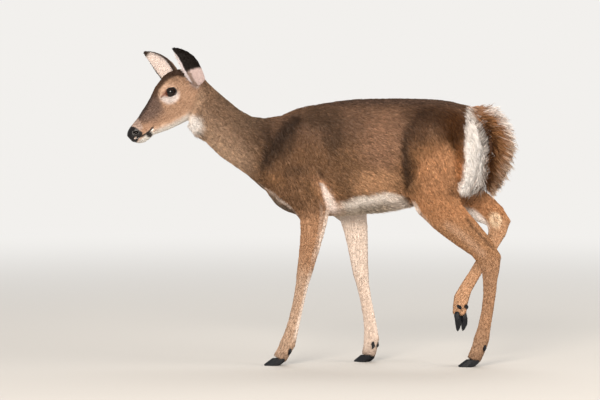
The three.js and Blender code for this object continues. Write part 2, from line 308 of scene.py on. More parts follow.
def boxPlace(name, fx, fy, fz):  # a place inside a node's box, as shares of its sides
    low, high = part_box(name)
    return np.array([low[i] + (high[i] - low[i]) * f for i, f in enumerate((fx, fy, fz))])


# Eyes: where they are and which way they look

eyeShape = {"long": 16.6, "high": 13.6, "frontReach": 5.0, "frontFlat": 0.3, "frontDrop": 1.2, "tilt": 25.0,
            "facing": (0.03, 1.0, 0.12)}


def eyeFrame(name, side):
    low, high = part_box(name)
    centre = np.array((low + high) / 2)
    radius = (high.z - low.z) / 2
    out = unit(headWay(*eyeShape["facing"], side))
    tilt = math.radians(eyeShape["tilt"])
    front = headWay(math.cos(tilt), 0, math.sin(tilt), side)
    front = unit(front - out * (front @ out))
    up = np.cross(front, out) * -side
    return {"centre": centre, "radius": radius, "out": out, "front": front, "up": up, "side": side}


eyes = {"Left": eyeFrame("eye_left", -1), "Right": eyeFrame("eye_right", 1)}


def almond(angle):  # the edge of the opening between the lids, in mm in the eye's own plane
    c, s = np.cos(angle), np.sin(angle)
    ahead = np.maximum(c, 0)
    high = eyeShape["high"] * s * (1 - eyeShape["frontFlat"] * ahead ** 3)
    long = eyeShape["long"] * c + eyeShape["frontReach"] * ahead ** 3
    return long, high - eyeShape["frontDrop"] * ahead ** 2


def almondShare(points, eye):  # 1 on the edge of the opening, less inside it, and 9 behind the eye
    off = (points - eye["centre"]) / mm
    p, q = off @ eye["front"], off @ eye["up"]
    angle = np.arctan2(q / eyeShape["high"], p / eyeShape["long"])
    edgeP, edgeQ = almond(angle)
    share = np.hypot(p, q) / np.maximum(np.hypot(edgeP, edgeQ), 1e-6)
    return np.where(off @ eye["out"] > 0, share, 9.0)


def openingShare(points):  # the same for whichever eye is nearer
    return np.min([almondShare(points, eye) for eye in eyes.values()], axis=0)


# The lay of the coat on each part
# way: where the hair points, in the frame's axes, or on the face in the head's. depth (skin under the
# hair's tips), length and width are in mm, lift in degrees, perCm2 is tufts on a square centimetre.

layKeys = ("way", "depth", "length", "width", "lift", "perCm2", "colour")
coatLay = {
    "head": ((-1, 0.1, -0.15), 1.3, 6.5, 0.85, 9, 20, "#a28169"),
    "lower_jaw": ((-1, 0.1, -0.3), 1.3, 7, 0.85, 9, 20, "#ab8a74"),
    "nose": ((-1, 0.1, 0), 0.3, 4, 0.7, 9, 0, "#211c1d"),
    "ear_left": ((-0.62, -0.4, 0.78), 0.1, 5, 0.8, 7, 30, "#2b1d16"),
    "ear_right": ((-0.74, 0.3, 0.62), 0.1, 5, 0.8, 7, 30, "#7c6452"),
    "neck": ((0.7, 0, -0.62), 4, 13, 1.45, 15, 16, "#7f6652"),
    "chest": ((0.84, 0, -0.5), 4.5, 15, 1.6, 13, 12, "#775a42"),
    "belly": ((0.9, 0, -0.42), 4.5, 16, 1.6, 13, 12, "#7b5d45"),
    "rump": ((0.62, 0, -0.78), 5.5, 20, 1.7, 15, 12.5, "#5f432c"),
    "tail": ((0.45, 0, -0.9), 17, 50, 2.3, 42, 16, "#7c5535"),
    "shoulder": ((0.45, 0, -0.88), 4, 14, 1.5, 12, 12.5, "#765840"),
    "forearm": ((0.1, 0, -1), 2, 11, 1.2, 10, 14, "#b08767"),
    "fore_cannon": ((0.0, 0.0, -1.0), 1.2, 8, 1.0, 9, 17, "#ad9077"),
    "fore_pastern": ((-0.3, 0, -0.95), 1, 8, 1.0, 10, 17, "#a68c76"),
    "thigh": ((0.4, 0, -0.9), 4.5, 15, 1.5, 12, 12.5, "#946c4a"),
    "gaskin": ((0.6, 0, -0.8), 2.2, 12, 1.25, 10, 13, "#a67d5b"),
    "hind_cannon": ((-0.1, 0, -1), 1.2, 8, 1.0, 9, 17, "#a37b5b"),
    "hind_pastern": ((-0.3, 0, -0.95), 1, 8, 1.0, 10, 17, "#a17f63"),
}
zoneStarts = {"head": "face", "lower_jaw": "face", "nose": "face", "neck": "neck", "chest": "chest",
              "belly": "belly", "rump": "rump", "tail": "tail", "shoulder": "shoulder", "thigh": "thigh",
              "forearm": "forearm", "fore_": "foreLow", "gaskin": "gaskin", "hind_": "hindLow",
              "ear_left": "earLeft", "ear_right": "earRight"}
zoneNames = list(dict.fromkeys(zoneStarts.values()))

# The coat's values on a vertex: way, depth to perCm2, colour, and its share of each zone
wayColumns, colourColumns, zoneStart = slice(0, 3), slice(8, 11), 11
column = {key: 3 + i for i, key in enumerate(layKeys[1:-1])}


def zoneOf(name):
    return next(zone for start, zone in zoneStarts.items() if name.startswith(start))


def zoneShare(values, *names):
    return values[:, [zoneStart + zoneNames.index(name) for name in names]].sum(axis=1)


def layOf(name):
    return dict(zip(layKeys, coatLay.get(name) or coatLay[name.rsplit("_", 1)[0]]))


fleshNodes = [name for name in nodes if not name.startswith(("eye_", "hoof_", "dewclaw_"))]
print("flesh nodes:", len(fleshNodes))

# The skin

skinMake = {"fuse": 0.7, "voxel": 3.0, "smoothing": 30, "legRounds": 8, "legTop": 0.52, "keepShare": 0.29,
            "insetSteps": 8, "blend": 22, "fineEye": 36.0, "fineMuzzle": (150, 300), "fineOut": 70}


def fleshCopy():  # every flesh node, its doubles merged and swollen a little, so that the cuts close
    whole = bmesh.new()
    for name in fleshNodes:
        part = openMesh(nodes[name].data)
        bmesh.ops.remove_doubles(part, verts=part.verts, dist=1e-5)
        part.normal_update()
        for v in part.verts:
            v.co += v.normal * skinMake["fuse"] * mm
        passing = closeMesh(part, "passing")
        whole.from_mesh(passing)
        bpy.data.meshes.remove(passing)
    return closeMesh(whole, "flesh")


def meshEdges(mesh):
    pairs = np.zeros(len(mesh.edges) * 2, np.int32)
    mesh.edges.foreach_get("vertices", pairs)
    return pairs.reshape(-1, 2)


def neighbourMean(values, pairs, count):
    a, b = pairs[:, 0], pairs[:, 1]
    degree = np.maximum(np.bincount(pairs.ravel(), minlength=count), 1)
    columns = [np.bincount(a, values[b, k], count) + np.bincount(b, values[a, k], count)
               for k in range(values.shape[1])]
    return np.column_stack(columns) / degree[:, None]


def smoothShape(mesh, rounds, share=0.6, push=0.63):  # evens the facets, and keeps the girth
    pairs, co = meshEdges(mesh), readVertices(mesh)
    for _ in range(rounds):
        co += share * (neighbourMean(co, pairs, len(co)) - co)
        co -= push * (neighbourMean(co, pairs, len(co)) - co)
    moveVertices(mesh, co)


def largestShell(mesh):  # leaves out the tiny closed bubbles of the remesh
    bm = openMesh(mesh)
    seen = set()
    for start in bm.verts:
        if start.index in seen:
            continue
        shell, todo = [start], [start]
        seen.add(start.index)
        while todo:
            for edge in todo.pop().link_edges:
                for v in edge.verts:
                    if v.index not in seen:
                        seen.add(v.index)
                        shell.append(v)
                        todo.append(v)
        if len(shell) < len(bm.verts) / 2:
            bmesh.ops.delete(bm, geom=shell, context="VERTS")
            break
    closeMesh(bm, mesh)


def modified(mesh, kind, group=None, **settings):  # a mesh after one modifier
    made = newObject("passing", mesh)
    if group is not None:
        weights = made.vertex_groups.new(name="thin")
        weights.add([int(i) for i in np.nonzero(group)[0]], 1.0, "REPLACE")
    modifier = made.modifiers.new("step", kind)
    for name, value in settings.items():
        setattr(modifier, name, value)
    result = bpy.data.meshes.new_from_object(made.evaluated_get(bpy.context.evaluated_depsgraph_get()))
    bpy.data.objects.remove(made)
    return result


def nodeLookup():  # a tree of all the flesh, and the node that each of its faces belongs to
    corners, faces, owner = [], [], []
    for index, name in enumerate(fleshNodes):
        mesh = nodes[name].data
        start = len(corners)
        corners += [v.co.copy() for v in mesh.vertices]
        faces += [[start + i for i in p.vertices] for p in mesh.polygons]
        owner += [index] * len(mesh.polygons)
    return BVHTree.FromPolygons(corners, faces), np.array(owner)


flesh = nodeLookup()


def ownersOf(points):
    tree, owner = flesh
    return np.array([owner[tree.find_nearest(Vector(p))[2]] for p in points])


def regionValues(owners):  # the coat's values on every vertex, still sharp at the cuts
    rows = []
    for name in fleshNodes:
        lay, zone = layOf(name), zoneOf(name)
        way = unit(headWay(*lay["way"]) if zone == "face" else np.array(lay["way"], float))
        rows.append([*way, *[lay[key] for key in layKeys[1:-1]], *hexColour(lay["colour"]),
                     *[float(zone == other) for other in zoneNames]])
    return np.array(rows)[owners]


def blendedValues(mesh, own):  # each vertex's node, and the values blended over the cuts
    owners = ownersOf(readVertices(mesh))
    values, pairs = regionValues(owners), meshEdges(mesh)
    for _ in range(skinMake["blend"]):
        values = own * values + (1 - own) * neighbourMean(values, pairs, len(values))
    return owners, values


def buildSkin():
    mesh = modified(fleshCopy(), "REMESH", mode="VOXEL", voxel_size=skinMake["voxel"] * mm)
    largestShell(mesh)
    smoothShape(mesh, skinMake["smoothing"])
    pairs, co = meshEdges(mesh), readVertices(mesh)
    legs = ramp(skinMake["legTop"] - co[:, 2], 0, 0.03)[:, None]  # rounds the joints, which stay square else
    for _ in range(skinMake["legRounds"]):
        co += 0.5 * legs * (neighbourMean(co, pairs, len(co)) - co)
    moveVertices(mesh, co)
    body = readVertices(mesh)[:, 0] > boxPlace("head", 1, 0, 0)[0] + 0.01
    return modified(mesh, "DECIMATE", group=body, ratio=skinMake["keepShare"], vertex_group="thin",
                    vertex_group_factor=10)


skinMesh = buildSkin()
print("skin:", len(skinMesh.vertices), "vertices after the remesh")


def insetSkin(mesh):  # the skin goes in by the coat's depth, a little at a time
    pairs = meshEdges(mesh)
    depth = blendedValues(mesh, 0.5)[1][:, [column["depth"]]]
    for _ in range(skinMake["insetSteps"]):
        co = readVertices(mesh) - readVertices(mesh, "normal") * depth * mm / skinMake["insetSteps"]
        co += np.clip(depth / 15, 0, 0.5) * (neighbourMean(co, pairs, len(co)) - co)
        moveVertices(mesh, co)


insetSkin(skinMesh)


def refineHead(mesh):  # finer faces round the eyes and on the muzzle
    bm = openMesh(mesh)
    co = np.array([v.co for v in bm.verts])
    along, out, _ = inHead(co)[0].T
    start, end = skinMake["fineMuzzle"]
    fine = (along > start) & (along < end) & (out < skinMake["fineOut"])
    for eye in eyes.values():
        fine |= np.linalg.norm(co - eye["centre"], axis=1) < skinMake["fineEye"] * mm
    edges = [e for e in bm.edges if fine[e.verts[0].index] and fine[e.verts[1].index]]
    bmesh.ops.subdivide_edges(bm, edges=edges, cuts=1, use_grid_fill=True)
    bmesh.ops.triangulate(bm, faces=[f for f in bm.faces if len(f.verts) > 4])
    closeMesh(bm, mesh)


refineHead(skinMesh)

# Face: nostrils, mouth, tear pits
# Places in the head's frame, in mm. Each line is along and up, and starts to be cut where out is over least.

faceForm = {
    "nostril": {"at": (234, 17, 13), "size": (9.5, 9, 4.6), "turn": 35, "bend": 0.035, "deep": 7},
    "mouth": {"line": [(250, 2), (238, -5), (225, -9.5), (212, -12.5), (199, -14), (185, -12), (175, -12)],
              "wide": 3.0, "deep": 2.4, "least": 6},
    "tearPit": {"line": [(77, 49), (84, 47.5), (91, 46)], "wide": 3.0, "deep": 2.2, "least": 30},
}


def nostrilShare(local):  # 1 on the rim of the nostril
    spec = faceForm["nostril"]
    off = local - np.array(spec["at"])
    turn = math.radians(spec["turn"])
    along = off[:, 0] * math.cos(turn) + off[:, 2] * math.sin(turn)
    across = -off[:, 0] * math.sin(turn) + off[:, 2] * math.cos(turn) - spec["bend"] * along ** 2
    return np.sqrt((along / spec["size"][0]) ** 2 + (across / spec["size"][2]) ** 2
                   + (off[:, 1] / spec["size"][1]) ** 2 * 0.3)


def carveFace(mesh):
    co, normal = readVertices(mesh), readVertices(mesh, "normal")
    local, _ = inHead(co)
    deep = faceForm["nostril"]["deep"] * fall(nostrilShare(local), 0.45, 1.15)
    for spec in (faceForm["mouth"], faceForm["tearPit"]):
        away = lineAway(local[:, [0, 2]], spec["line"])
        groove = spec["deep"] * fall(away, 0.3 * spec["wide"], 1.3 * spec["wide"])
        deep = np.maximum(deep, np.where(local[:, 1] > spec["least"], groove, 0))
    deep = np.where((local[:, 0] > 60) & (local[:, 0] < 290), deep, 0)  # nothing on the ears and the neck
    moveVertices(mesh, co - normal * deep[:, None] * mm)


carveFace(skinMesh)

# Eyelids: rings from behind the lid's edge out to the cheek
# Share of the opening, and height over the eyeball in mm. Where it is None, they settle on the face.

lidRings = [(0.9, -1.2), (0.955, 0.35), (0.985, 1.5), (1.03, 2.0), (1.12, 2.2),
            *[(share, None) for share in (1.22, 1.33, 1.45, 1.58, 1.7)]]
lidMake = {"points": 64, "crease": 1.3, "creaseAt": 1.3, "creaseWide": 0.07, "settleAt": 1.1,
           "startHeight": 2.2, "swell": 1.7, "sink": 1.6, "leastHeight": 8.0}


def lidHeight(eye, p, q):  # how far out of the eye's plane the eyeball is there
    return np.sqrt(max(eye["radius"] ** 2 / mm ** 2 - p * p - q * q, lidMake["leastHeight"] ** 2))


def addLids(mesh, eye, tree):
    bm = bmesh.new()
    bmesh.ops.create_circle(bm, cap_ends=False, radius=1, segments=lidMake["points"])
    edges = list(bm.edges)
    for _ in lidRings[1:]:
        grown = bmesh.ops.extrude_edge_only(bm, edges=edges)["geom"]
        edges = [g for g in grown if isinstance(g, bmesh.types.BMEdge) and g.is_boundary]
        fresh = [g for g in grown if isinstance(g, bmesh.types.BMVert)]
        bmesh.ops.translate(bm, verts=fresh, vec=(0, 0, 1))
    first, last = lidMake["settleAt"], lidRings[-1][0]
    for v in bm.verts:
        angle, level = math.atan2(v.co.y, v.co.x), round(v.co.z)
        share, height = lidRings[level]
        edgeP, edgeQ = almond(angle)
        p, q = edgeP * share, edgeQ * share
        if height is None:
            start = lidHeight(eye, edgeP * first, edgeQ * first) + lidMake["startHeight"]
            farP, farQ = edgeP * last, edgeQ * last
            above = eye["centre"] + (eye["front"] * farP + eye["up"] * farQ + eye["out"] * 60) * mm
            hit = tree.ray_cast(Vector(above), Vector(-eye["out"]))[0]
            end = ((np.array(hit) - eye["centre"]) @ eye["out"]) / mm if hit else start - 8
            t = (share - first) / (last - first)
            ease = t * t * (3 - 2 * t)
            height = start + (end - start) * ease + lidMake["swell"] * math.sin(math.pi * t) * (1 - 0.3 * t)
            height -= lidMake["sink"] * t ** 3
            fold = math.exp(-((share - lidMake["creaseAt"]) / lidMake["creaseWide"]) ** 2)
            height -= lidMake["crease"] * (fold * max(math.sin(angle), 0))
        else:
            height = lidHeight(eye, p, q) + height
        v.co = eye["centre"] + (eye["front"] * p + eye["up"] * q + eye["out"] * height) * mm
    bmesh.ops.bridge_loops(bm, edges=[e for e in bm.edges if e.is_boundary])
    bmesh.ops.recalc_face_normals(bm, faces=bm.faces)
    lid = closeMesh(bm, "lid")
    whole = openMesh(mesh)
    whole.from_mesh(lid)
    closeMesh(whole, mesh)
    bpy.data.meshes.remove(lid)


headForm = openMesh(skinMesh)
socketTree = BVHTree.FromBMesh(headForm)
headForm.free()
for eye in eyes.values():
    addLids(skinMesh, eye, socketTree)
print("face: nostrils, mouth, tear pits and eyelids")

# Markings, the same on skin and coat

pigment = {name: hexColour(code) for name, code in {
    "back": "#4a3a31", "upper": "#6d5444", "flankWarm": "#b48c6a", "flankGrey": "#98755d",
    "chestWarm": "#96704f", "foreWarm": "#b58a69", "shadeDeep": "#3d2e23", "shadeWarm": "#3f2b1d",
    "rumpWarm": "#462a13", "low": "#a07c5d", "shade": "#33261d", "shadeSoft": "#4d3b2d", "rust": "#b58661",
    "rustLow": "#b4825b", "rustDeep": "#8f582f", "streak": "#371f08", "neckTop": "#5f4e40",
    # jaw and belly are white hair greyed by painted shade, brisket is darker hair with painted shade under
    # the chest
    "neckLow": "#b89b82", "cream": "#f1e2d6", "pink": "#fdeee6", "white": "#fdf8f4", "jaw": "#d0ccc6",
    "belly": "#cdbdaa", "brisket": "#82766a", "tailBrown": "#a1744f", "tailDark": "#422814",
    "tailTan": "#b08f76", "tailTips": "#dccab8", "fawn": "#bfa28b", "innerHind": "#cca27f",
    "muzzle": "#574640", "bridge": "#352b27", "brow": "#503a2b", "browDark": "#35241a", "ring": "#d0c6c2",
    "ringUp": "#caa991", "cheek": "#a9886f", "cheekLow": "#d3b197", "band": "#a89286", "lip": "#ab8770",
    "black": "#15100f", "nosePad": "#120e0f", "duct": "#7d5240", "lipSpot": "#b5a49a", "earBack": "#0c0603",
    "earBase": "#c6b2ae", "earIn": "#eadad0", "earRim": "#1c1410", "earFringe": "#d9cfd0",
    "earBrown": "#7a6352", "gland": "#ecd4b6", "hoofHair": "#6d5343",
}.items()}

# soft clouds of colour seen from the side: colour, strength, x, z, half length, half height, turn in degrees
bodyClouds = {
    "flank": ("flankGrey", 0.92, 0.222, 0.745, 0.094, 0.115, 0),
    "flankLow": ("flankWarm", 0.92, 0.2, 0.612, 0.095, 0.056, 0),
    "chestLow": ("chestWarm", 0.6, 0.014, 0.585, 0.08, 0.045, 0),
    "foreWarm": ("chestWarm", 0.5, -0.14, 0.62, 0.035, 0.03, 0),
    "shoulderTop": ("shadeSoft", 0.85, 0.004, 0.83, 0.095, 0.05, 0),
    "behindShoulder": ("shadeSoft", 0.75, 0.052, 0.765, 0.085, 0.042, 84),
    "shoulderDark": ("shadeDeep", 0.75, -0.112, 0.745, 0.08, 0.042, 76),
    "neckHollow": ("shadeDeep", 0.95, -0.2, 0.782, 0.06, 0.054, 60),
    "shoulderLow": ("shadeSoft", 0.45, -0.075, 0.652, 0.045, 0.02, 10),
    "thighDark": ("shadeWarm", 0.62, 0.33, 0.772, 0.048, 0.062, 0),
    "rumpTop": ("shadeWarm", 0.85, 0.39, 0.835, 0.12, 0.042, -6),
    "rumpWarm": ("rumpWarm", 0.95, 0.453, 0.79, 0.06, 0.072, 0),
    "thighMid": ("rust", 0.92, 0.426, 0.665, 0.06, 0.085, 0),
    "thighFrontLow": ("rustLow", 0.45, 0.352, 0.65, 0.022, 0.045, 0),
    "thighSide": ("shadeWarm", 0.55, 0.317, 0.665, 0.055, 0.022, 84),
    "seatStreak": ("streak", 0.85, 0.46, 0.735, 0.074, 0.021, -66),
    "seatRust": ("rustDeep", 0.7, 0.469, 0.665, 0.075, 0.016, -88),
    "seatLow": ("shadeWarm", 0.42, 0.456, 0.59, 0.03, 0.04, 0),
    "elbowWarm": ("foreWarm", 0.55, -0.004, 0.622, 0.02, 0.024, 0),
}
bodyLines = {  # corners as x, z, but as z, x on thighFold, patchEdge and tailEdge
    "thighFold": [(0.53, 0.312), (0.547, 0.303), (0.59, 0.29), (0.628, 0.285), (0.685, 0.282),
                  (0.74, 0.279), (0.782, 0.283), (0.82, 0.307), (0.855, 0.341)],
    "axilla": [(0.016, 0.604), (0.025, 0.586), (0.04, 0.55), (0.05, 0.525)],
    "bellyEdge": [(0.034, 0.53), (0.054, 0.545), (0.107, 0.556), (0.139, 0.567), (0.188, 0.571),
                  (0.224, 0.583), (0.274, 0.574), (0.298, 0.554), (0.312, 0.531), (0.344, 0.53)],
    "brisketEdge": [(-0.2, 0.6), (-0.137, 0.56), (-0.097, 0.531), (-0.066, 0.497)],
    "patchEdge": [(0.515, 0.496), (0.545, 0.49), (0.553, 0.486), (0.566, 0.475), (0.597, 0.47),
                  (0.635, 0.483), (0.685, 0.49), (0.724, 0.487), (0.762, 0.492), (0.791, 0.49),
                  (0.826, 0.493), (0.848, 0.5), (0.86, 0.507), (0.868, 0.534)],
    "tailEdge": [(0.56, 0.495), (0.577, 0.519), (0.589, 0.536), (0.618, 0.548), (0.661, 0.553),
                 (0.705, 0.559), (0.748, 0.556), (0.791, 0.542), (0.826, 0.522), (0.861, 0.5),
                 (0.88, 0.485)],
    "tailRear": [(0.482, 0.877), (0.522, 0.876), (0.567, 0.866), (0.61, 0.836), (0.636, 0.788),
                 (0.642, 0.735), (0.632, 0.686), (0.616, 0.64), (0.598, 0.6), (0.578, 0.572)],
    "earDark": [(-0.45, 0.95), (-0.441, 0.956), (-0.433, 0.984), (-0.415, 0.993), (-0.381, 0.998)],
}
# dark lines of shaded hair seen from the side: strength, half width, corners as x, z
bodyStrokes = {
    "shoulderArc": (0.88, 0.034, [(-0.08, 0.814), (-0.112, 0.784), (-0.15, 0.74), (-0.165, 0.708),
                                  (-0.172, 0.676)]),
    "neckSeam": (0.6, 0.009, [(-0.164, 0.8), (-0.167, 0.78), (-0.175, 0.733), (-0.183, 0.682),
                              (-0.193, 0.648)]),
    "shoulderCrease": (0.6, 0.006, [(-0.13, 0.735), (-0.133, 0.72), (-0.15, 0.678)]),
    "elbowFold": (0.65, 0.011, [(0.004, 0.648), (0.013, 0.636), (0.026, 0.615), (0.047, 0.583),
                                (0.06, 0.562)]),
    "armFold": (0.35, 0.008, [(-0.041, 0.592), (-0.025, 0.578), (-0.004, 0.558), (0.021, 0.528)]),
}
legStrokes = {  # painted shade in the groove before the heel tendon and a painted highlight along the shin, on the outer side
    "heelGroove": ("shadeWarm", 0.55, 0.008, [(0.496, 0.493), (0.534, 0.447), (0.58, 0.397)]),
    "shinHighlight": ("cheekLow", 0.4, 0.02, [(0.434, 0.474), (0.496, 0.428), (0.549, 0.378)]),
}


def across(places, line):  # the second number of a line of corners at these first numbers
    first, second = zip(*line)
    return np.interp(places, first, second)


def cloudShare(p, rough, x, z, long, high, turn):
    dx, dz = p[:, 0] - x, p[:, 2] - z
    c, s = math.cos(math.radians(turn)), math.sin(math.radians(turn))
    away = np.hypot((dx * c + dz * s) / long, (dz * c - dx * s) / high)
    return fall(away + 0.16 * rough, 0.3, 1.25)


trunkWay, legWay = unit(np.array([0.75, 0, -0.66])), np.array([0, 0, -1.0])


def paintTrunk(mix, part, p, n):  # back, flank, shoulder and thigh
    x, y, z = p.T
    body = part("chest", "belly", "rump", "shoulder", "thigh")
    thigh = part("thigh", "rump")
    rough = streaked(p, trunkWay, 0.012)
    mix("upper", body * ramp(z + 0.01 * rough, 0.7, 0.8) * 0.8)
    mix("low", part("belly", "chest") * fall(z, 0.57, 0.66) * ramp(x, 0.08, 0.18) * 0.7)
    mix("rust", thigh * fall(z + 0.01 * rough, 0.66, 0.76) * ramp(x, 0.31, 0.37) * 0.9)
    lowThigh = thigh + part("gaskin") * ramp(z, 0.44, 0.53)
    mix("rustLow", lowThigh * fall(z + 0.008 * rough, 0.5, 0.62) * 0.85)
    for colour, strength, *shape in bodyClouds.values():
        mix(colour, body * cloudShare(p, rough, *shape) * strength)
    mix("back", body * ramp(z + 0.02 * n[:, 2] + 0.004 * rough, 0.868, 0.902) * 0.9)
    fold = x - across(z, bodyLines["thighFold"]) + 0.003 * rough
    inRange = ramp(z, 0.53, 0.64) * fall(z, 0.84, 0.87)
    mix("shade", body * inRange * ramp(fold, -0.004, 0.003)
        * fall(fold, 0.01, 0.046) * (0.9 - 0.25 * ramp(z, 0.72, 0.8)))
    for name, (strength, wide, corners) in bodyStrokes.items():
        away = lineAway(p[:, [0, 2]], corners)
        side = ramp(-y, 0.0, 0.02) if name in ("elbowFold", "armFold") else 1.0
        mix("shade", (body + part("neck")) * side * fall(away / wide + 0.2 * rough, 0.1, 1.2) * strength)


def paintNeck(mix, part, p, n):  # darker above, and the white throat patch with its notch
    x, _, z = p.T
    rough = mottle(p, 0.02)
    neck = part("neck")
    mix("neckLow", neck * ramp(-n[:, 2] + 0.15 * rough, -0.35, 0.45) * 0.9)
    mix("neckTop", neck * ramp(n[:, 2] + 0.15 * rough, 0.2, 0.85) * 0.75 * ramp(x, -0.4, -0.3))
    mix("shadeSoft", neck * ramp(x + 0.01 * rough, -0.27, -0.2) * 0.42)
    mix("cheek", neck * fall(x + 0.01 * rough, -0.445, -0.39) * 0.6)
    patch = np.hypot((x + 0.4195) / 0.034, (z - 0.798) / 0.036) + 0.2 * streaked(p, trunkWay, 0.006)
    mix("white", part("neck", "face") * fall(patch, 0.55, 1.25) * 0.95)
    notch = np.hypot((x + 0.3975) / 0.01, (z - 0.77) / 0.007)
    mix("shade", neck * fall(notch, 0.5, 1.3) * 0.7)


def paintUnder(mix, part, p, n):  # brisket and belly, greyed by painted shade beneath, with a painted highlight along the brisket's edge; the bare fold behind the left elbow, and groin
    x, y, z = p.T
    rough = streaked(p, trunkWay, 0.009)
    inner = -n[:, 1] * np.sign(y)
    side = p[:, [0, 2]]
    brisket, below, _ = nearLine(side, bodyLines["brisketEdge"])
    front = part("chest", "shoulder", "neck") * fall(x, -0.075, -0.045) * ramp(x, -0.23, -0.19)
    off = brisket * below
    flank = ramp(-n[:, 1] * (y < 0) + 0.1 * rough, 0.25, 0.7)
    # the brisket's grey is its darker hair and painted shade under the chest; the pale line along its edge is
    # a ridge of paler hair brightened by a painted highlight on the near side
    mix("brisket", front * ramp(-off + 0.003 * rough, -0.003, 0.03 - 0.022 * flank) * 0.85)
    mix("cream", front * flank * fall(brisket + 0.002 * rough, 0.0015, 0.006) * 0.75)
    edge = across(x, bodyLines["bellyEdge"])
    torso = part("chest", "belly") + part("rump", "thigh", "shoulder") * ramp(inner, 0.2, 0.6)
    under = torso * ramp(edge - z + 0.006 * rough, -0.005, 0.01) * ramp(x, 0.015, 0.045)
    # the belly's white hair, greyed by painted shade under the body: least at its edge, most further under
    mix("belly", under * 0.95)
    mix("white", under * fall(edge - z + 0.008 * rough, 0.022, 0.05) * 0.6)
    low = ramp(edge - z, 0.01, 0.045) * ramp(x, 0.1, 0.16) * fall(x, 0.23, 0.28)
    mix("brisket", under * low * 0.35)
    mix("cream", under * ramp(x, 0.225, 0.255) * 0.55)
    streak = lineAway(side, bodyLines["axilla"])
    wide = np.interp(z, (0.54, 0.575, 0.61), (0.021, 0.015, 0.008))
    left = ramp(-y, 0.0, 0.02)
    warm = fall((streak + 0.004 * rough) / (wide + 0.012), 0.5, 1.5)
    mix("foreWarm", left * part("chest", "shoulder") * warm * 0.7)
    bare = fall((streak + 0.002 * rough) / wide, 0.35, 1.2)
    mix("pink", left * part("chest", "shoulder", "belly", "forearm") * bare)
    groin = part("thigh", "rump", "belly") * ramp(inner, 0.2, 0.7)
    mix("white", groin * ramp(0.66 - z, -0.03, 0.04) * 0.9)


def paintLegs(mix, part, p, n):  # pale insides, rear edges pale by their hair and by a painted rim of light, painted shade and highlight on the shin, the hock's glands, dull hair at the hooves
    x, y, z = p.T
    legs = part("forearm", "foreLow", "gaskin", "hindLow")
    rough = streaked(p, legWay, 0.012)
    inner = -n[:, 1] * np.sign(y) + 0.12 * rough
    fore = part("forearm", "foreLow") + part("shoulder") * ramp(0.56 - z, 0, 0.04)
    hind = part("gaskin", "hindLow")
    behind = n[:, 0] + 0.1 * rough
    mix("fawn", part("foreLow") * 0.75 + part("hindLow") * 0.15)
    mix("cream", (fore - 0.35 * part("foreLow")) * ramp(inner, 0.05, 0.5) * 0.95)
    # the pale rear edges of the forelegs, down to the fetlocks: partly their pale hair, partly a painted rim
    # of light
    mix("cream", fore * ramp(behind, 0.3, 0.65) * ramp(z, 0.32, 0.42) * 0.9)
    mix("cream", part("foreLow") * ramp(behind, 0.3, 0.75) * ramp(z, 0.07, 0.11) * 0.9)
    mix("innerHind", part("hindLow") * ramp(inner, 0.1, 0.6) * 0.85)
    front = (part("thigh") + hind) * ramp(-n[:, 0] + 0.05 * rough, 0.5, 0.8) * ramp(z, 0.455, 0.48)
    mix("cream", front * fall(z, 0.535, 0.555) * 0.85)
    # painted shade in the heel groove and a painted highlight along the shin
    for colour, strength, wide, corners in legStrokes.values():
        away = lineAway(p[:, [0, 2]], corners)
        mix(colour, hind * ramp(-inner, 0.1, 0.5) * fall(away / wide + 0.15 * rough, 0.1, 1.2) * strength)
    upper = np.hypot((x - 0.5195) / 0.045, (z - 0.482 + 0.6 * (x - 0.5195)) / 0.03) + 0.1 * rough
    mix("white", hind * ramp(inner, 0.1, 0.6) * fall(upper, 0.7, 1.2) * 0.85)
    gland = np.minimum(*[np.linalg.norm((p - at) / np.array(size), axis=1) for at, size in tarsalGlands])
    mix("gland", hind * fall(gland + 0.15 * rough, 0.6, 1.1) * 0.95)
    mix("rustDeep", hind * fall(gland + 0.2 * rough, 0.15, 0.5) * 0.75)
    mix("hoofHair", legs * fall(z + 0.006 * rough, 0.02, 0.06) * 0.5)


def paintRear(mix, part, p, n):  # the white rump patch; the tail is white below, brown above, pale-rimmed
    x, _, z = p.T
    rough = streaked(p, trunkWay, 0.01)
    tail = part("tail")
    edge = across(z, bodyLines["patchEdge"])
    inPatch = ramp(z + 0.008 * rough, 0.512, 0.538) * fall(z, 0.858, 0.868)
    mix("white", part("rump", "thigh", "tail") * ramp(x - edge + 0.003 * rough, -0.003, 0.005) * inPatch)
    off = x - across(z, bodyLines["tailEdge"]) + 0.003 * rough
    brown = tail * ramp(off, -0.004, 0.005)
    mix("tailBrown", brown)
    mix("tailDark", brown * ramp(off, 0.002, 0.012) * fall(off, 0.028, 0.056) * fall(z, 0.79, 0.84))
    away, side, _ = nearLine(p[:, [0, 2]], bodyLines["tailRear"])
    out = away * side
    mix("tailTan", brown * ramp(out + 0.006 * rough, -0.024, 0.006) * 0.85)
    mix("tailTips", tail * ramp(out + 0.008 * rough, -0.004, 0.014) * 0.75)
    tips = ramp(z + 0.01 * rough, 0.735, 0.785) * ramp(x, 0.554, 0.579)
    mix("white", tail * ramp(out + 0.005 * rough, -0.02, 0.002) * tips * 0.95)
    mix("tailDark", brown * fall(z, 0.575, 0.605) * fall(off, 0.03, 0.05) * 0.7)


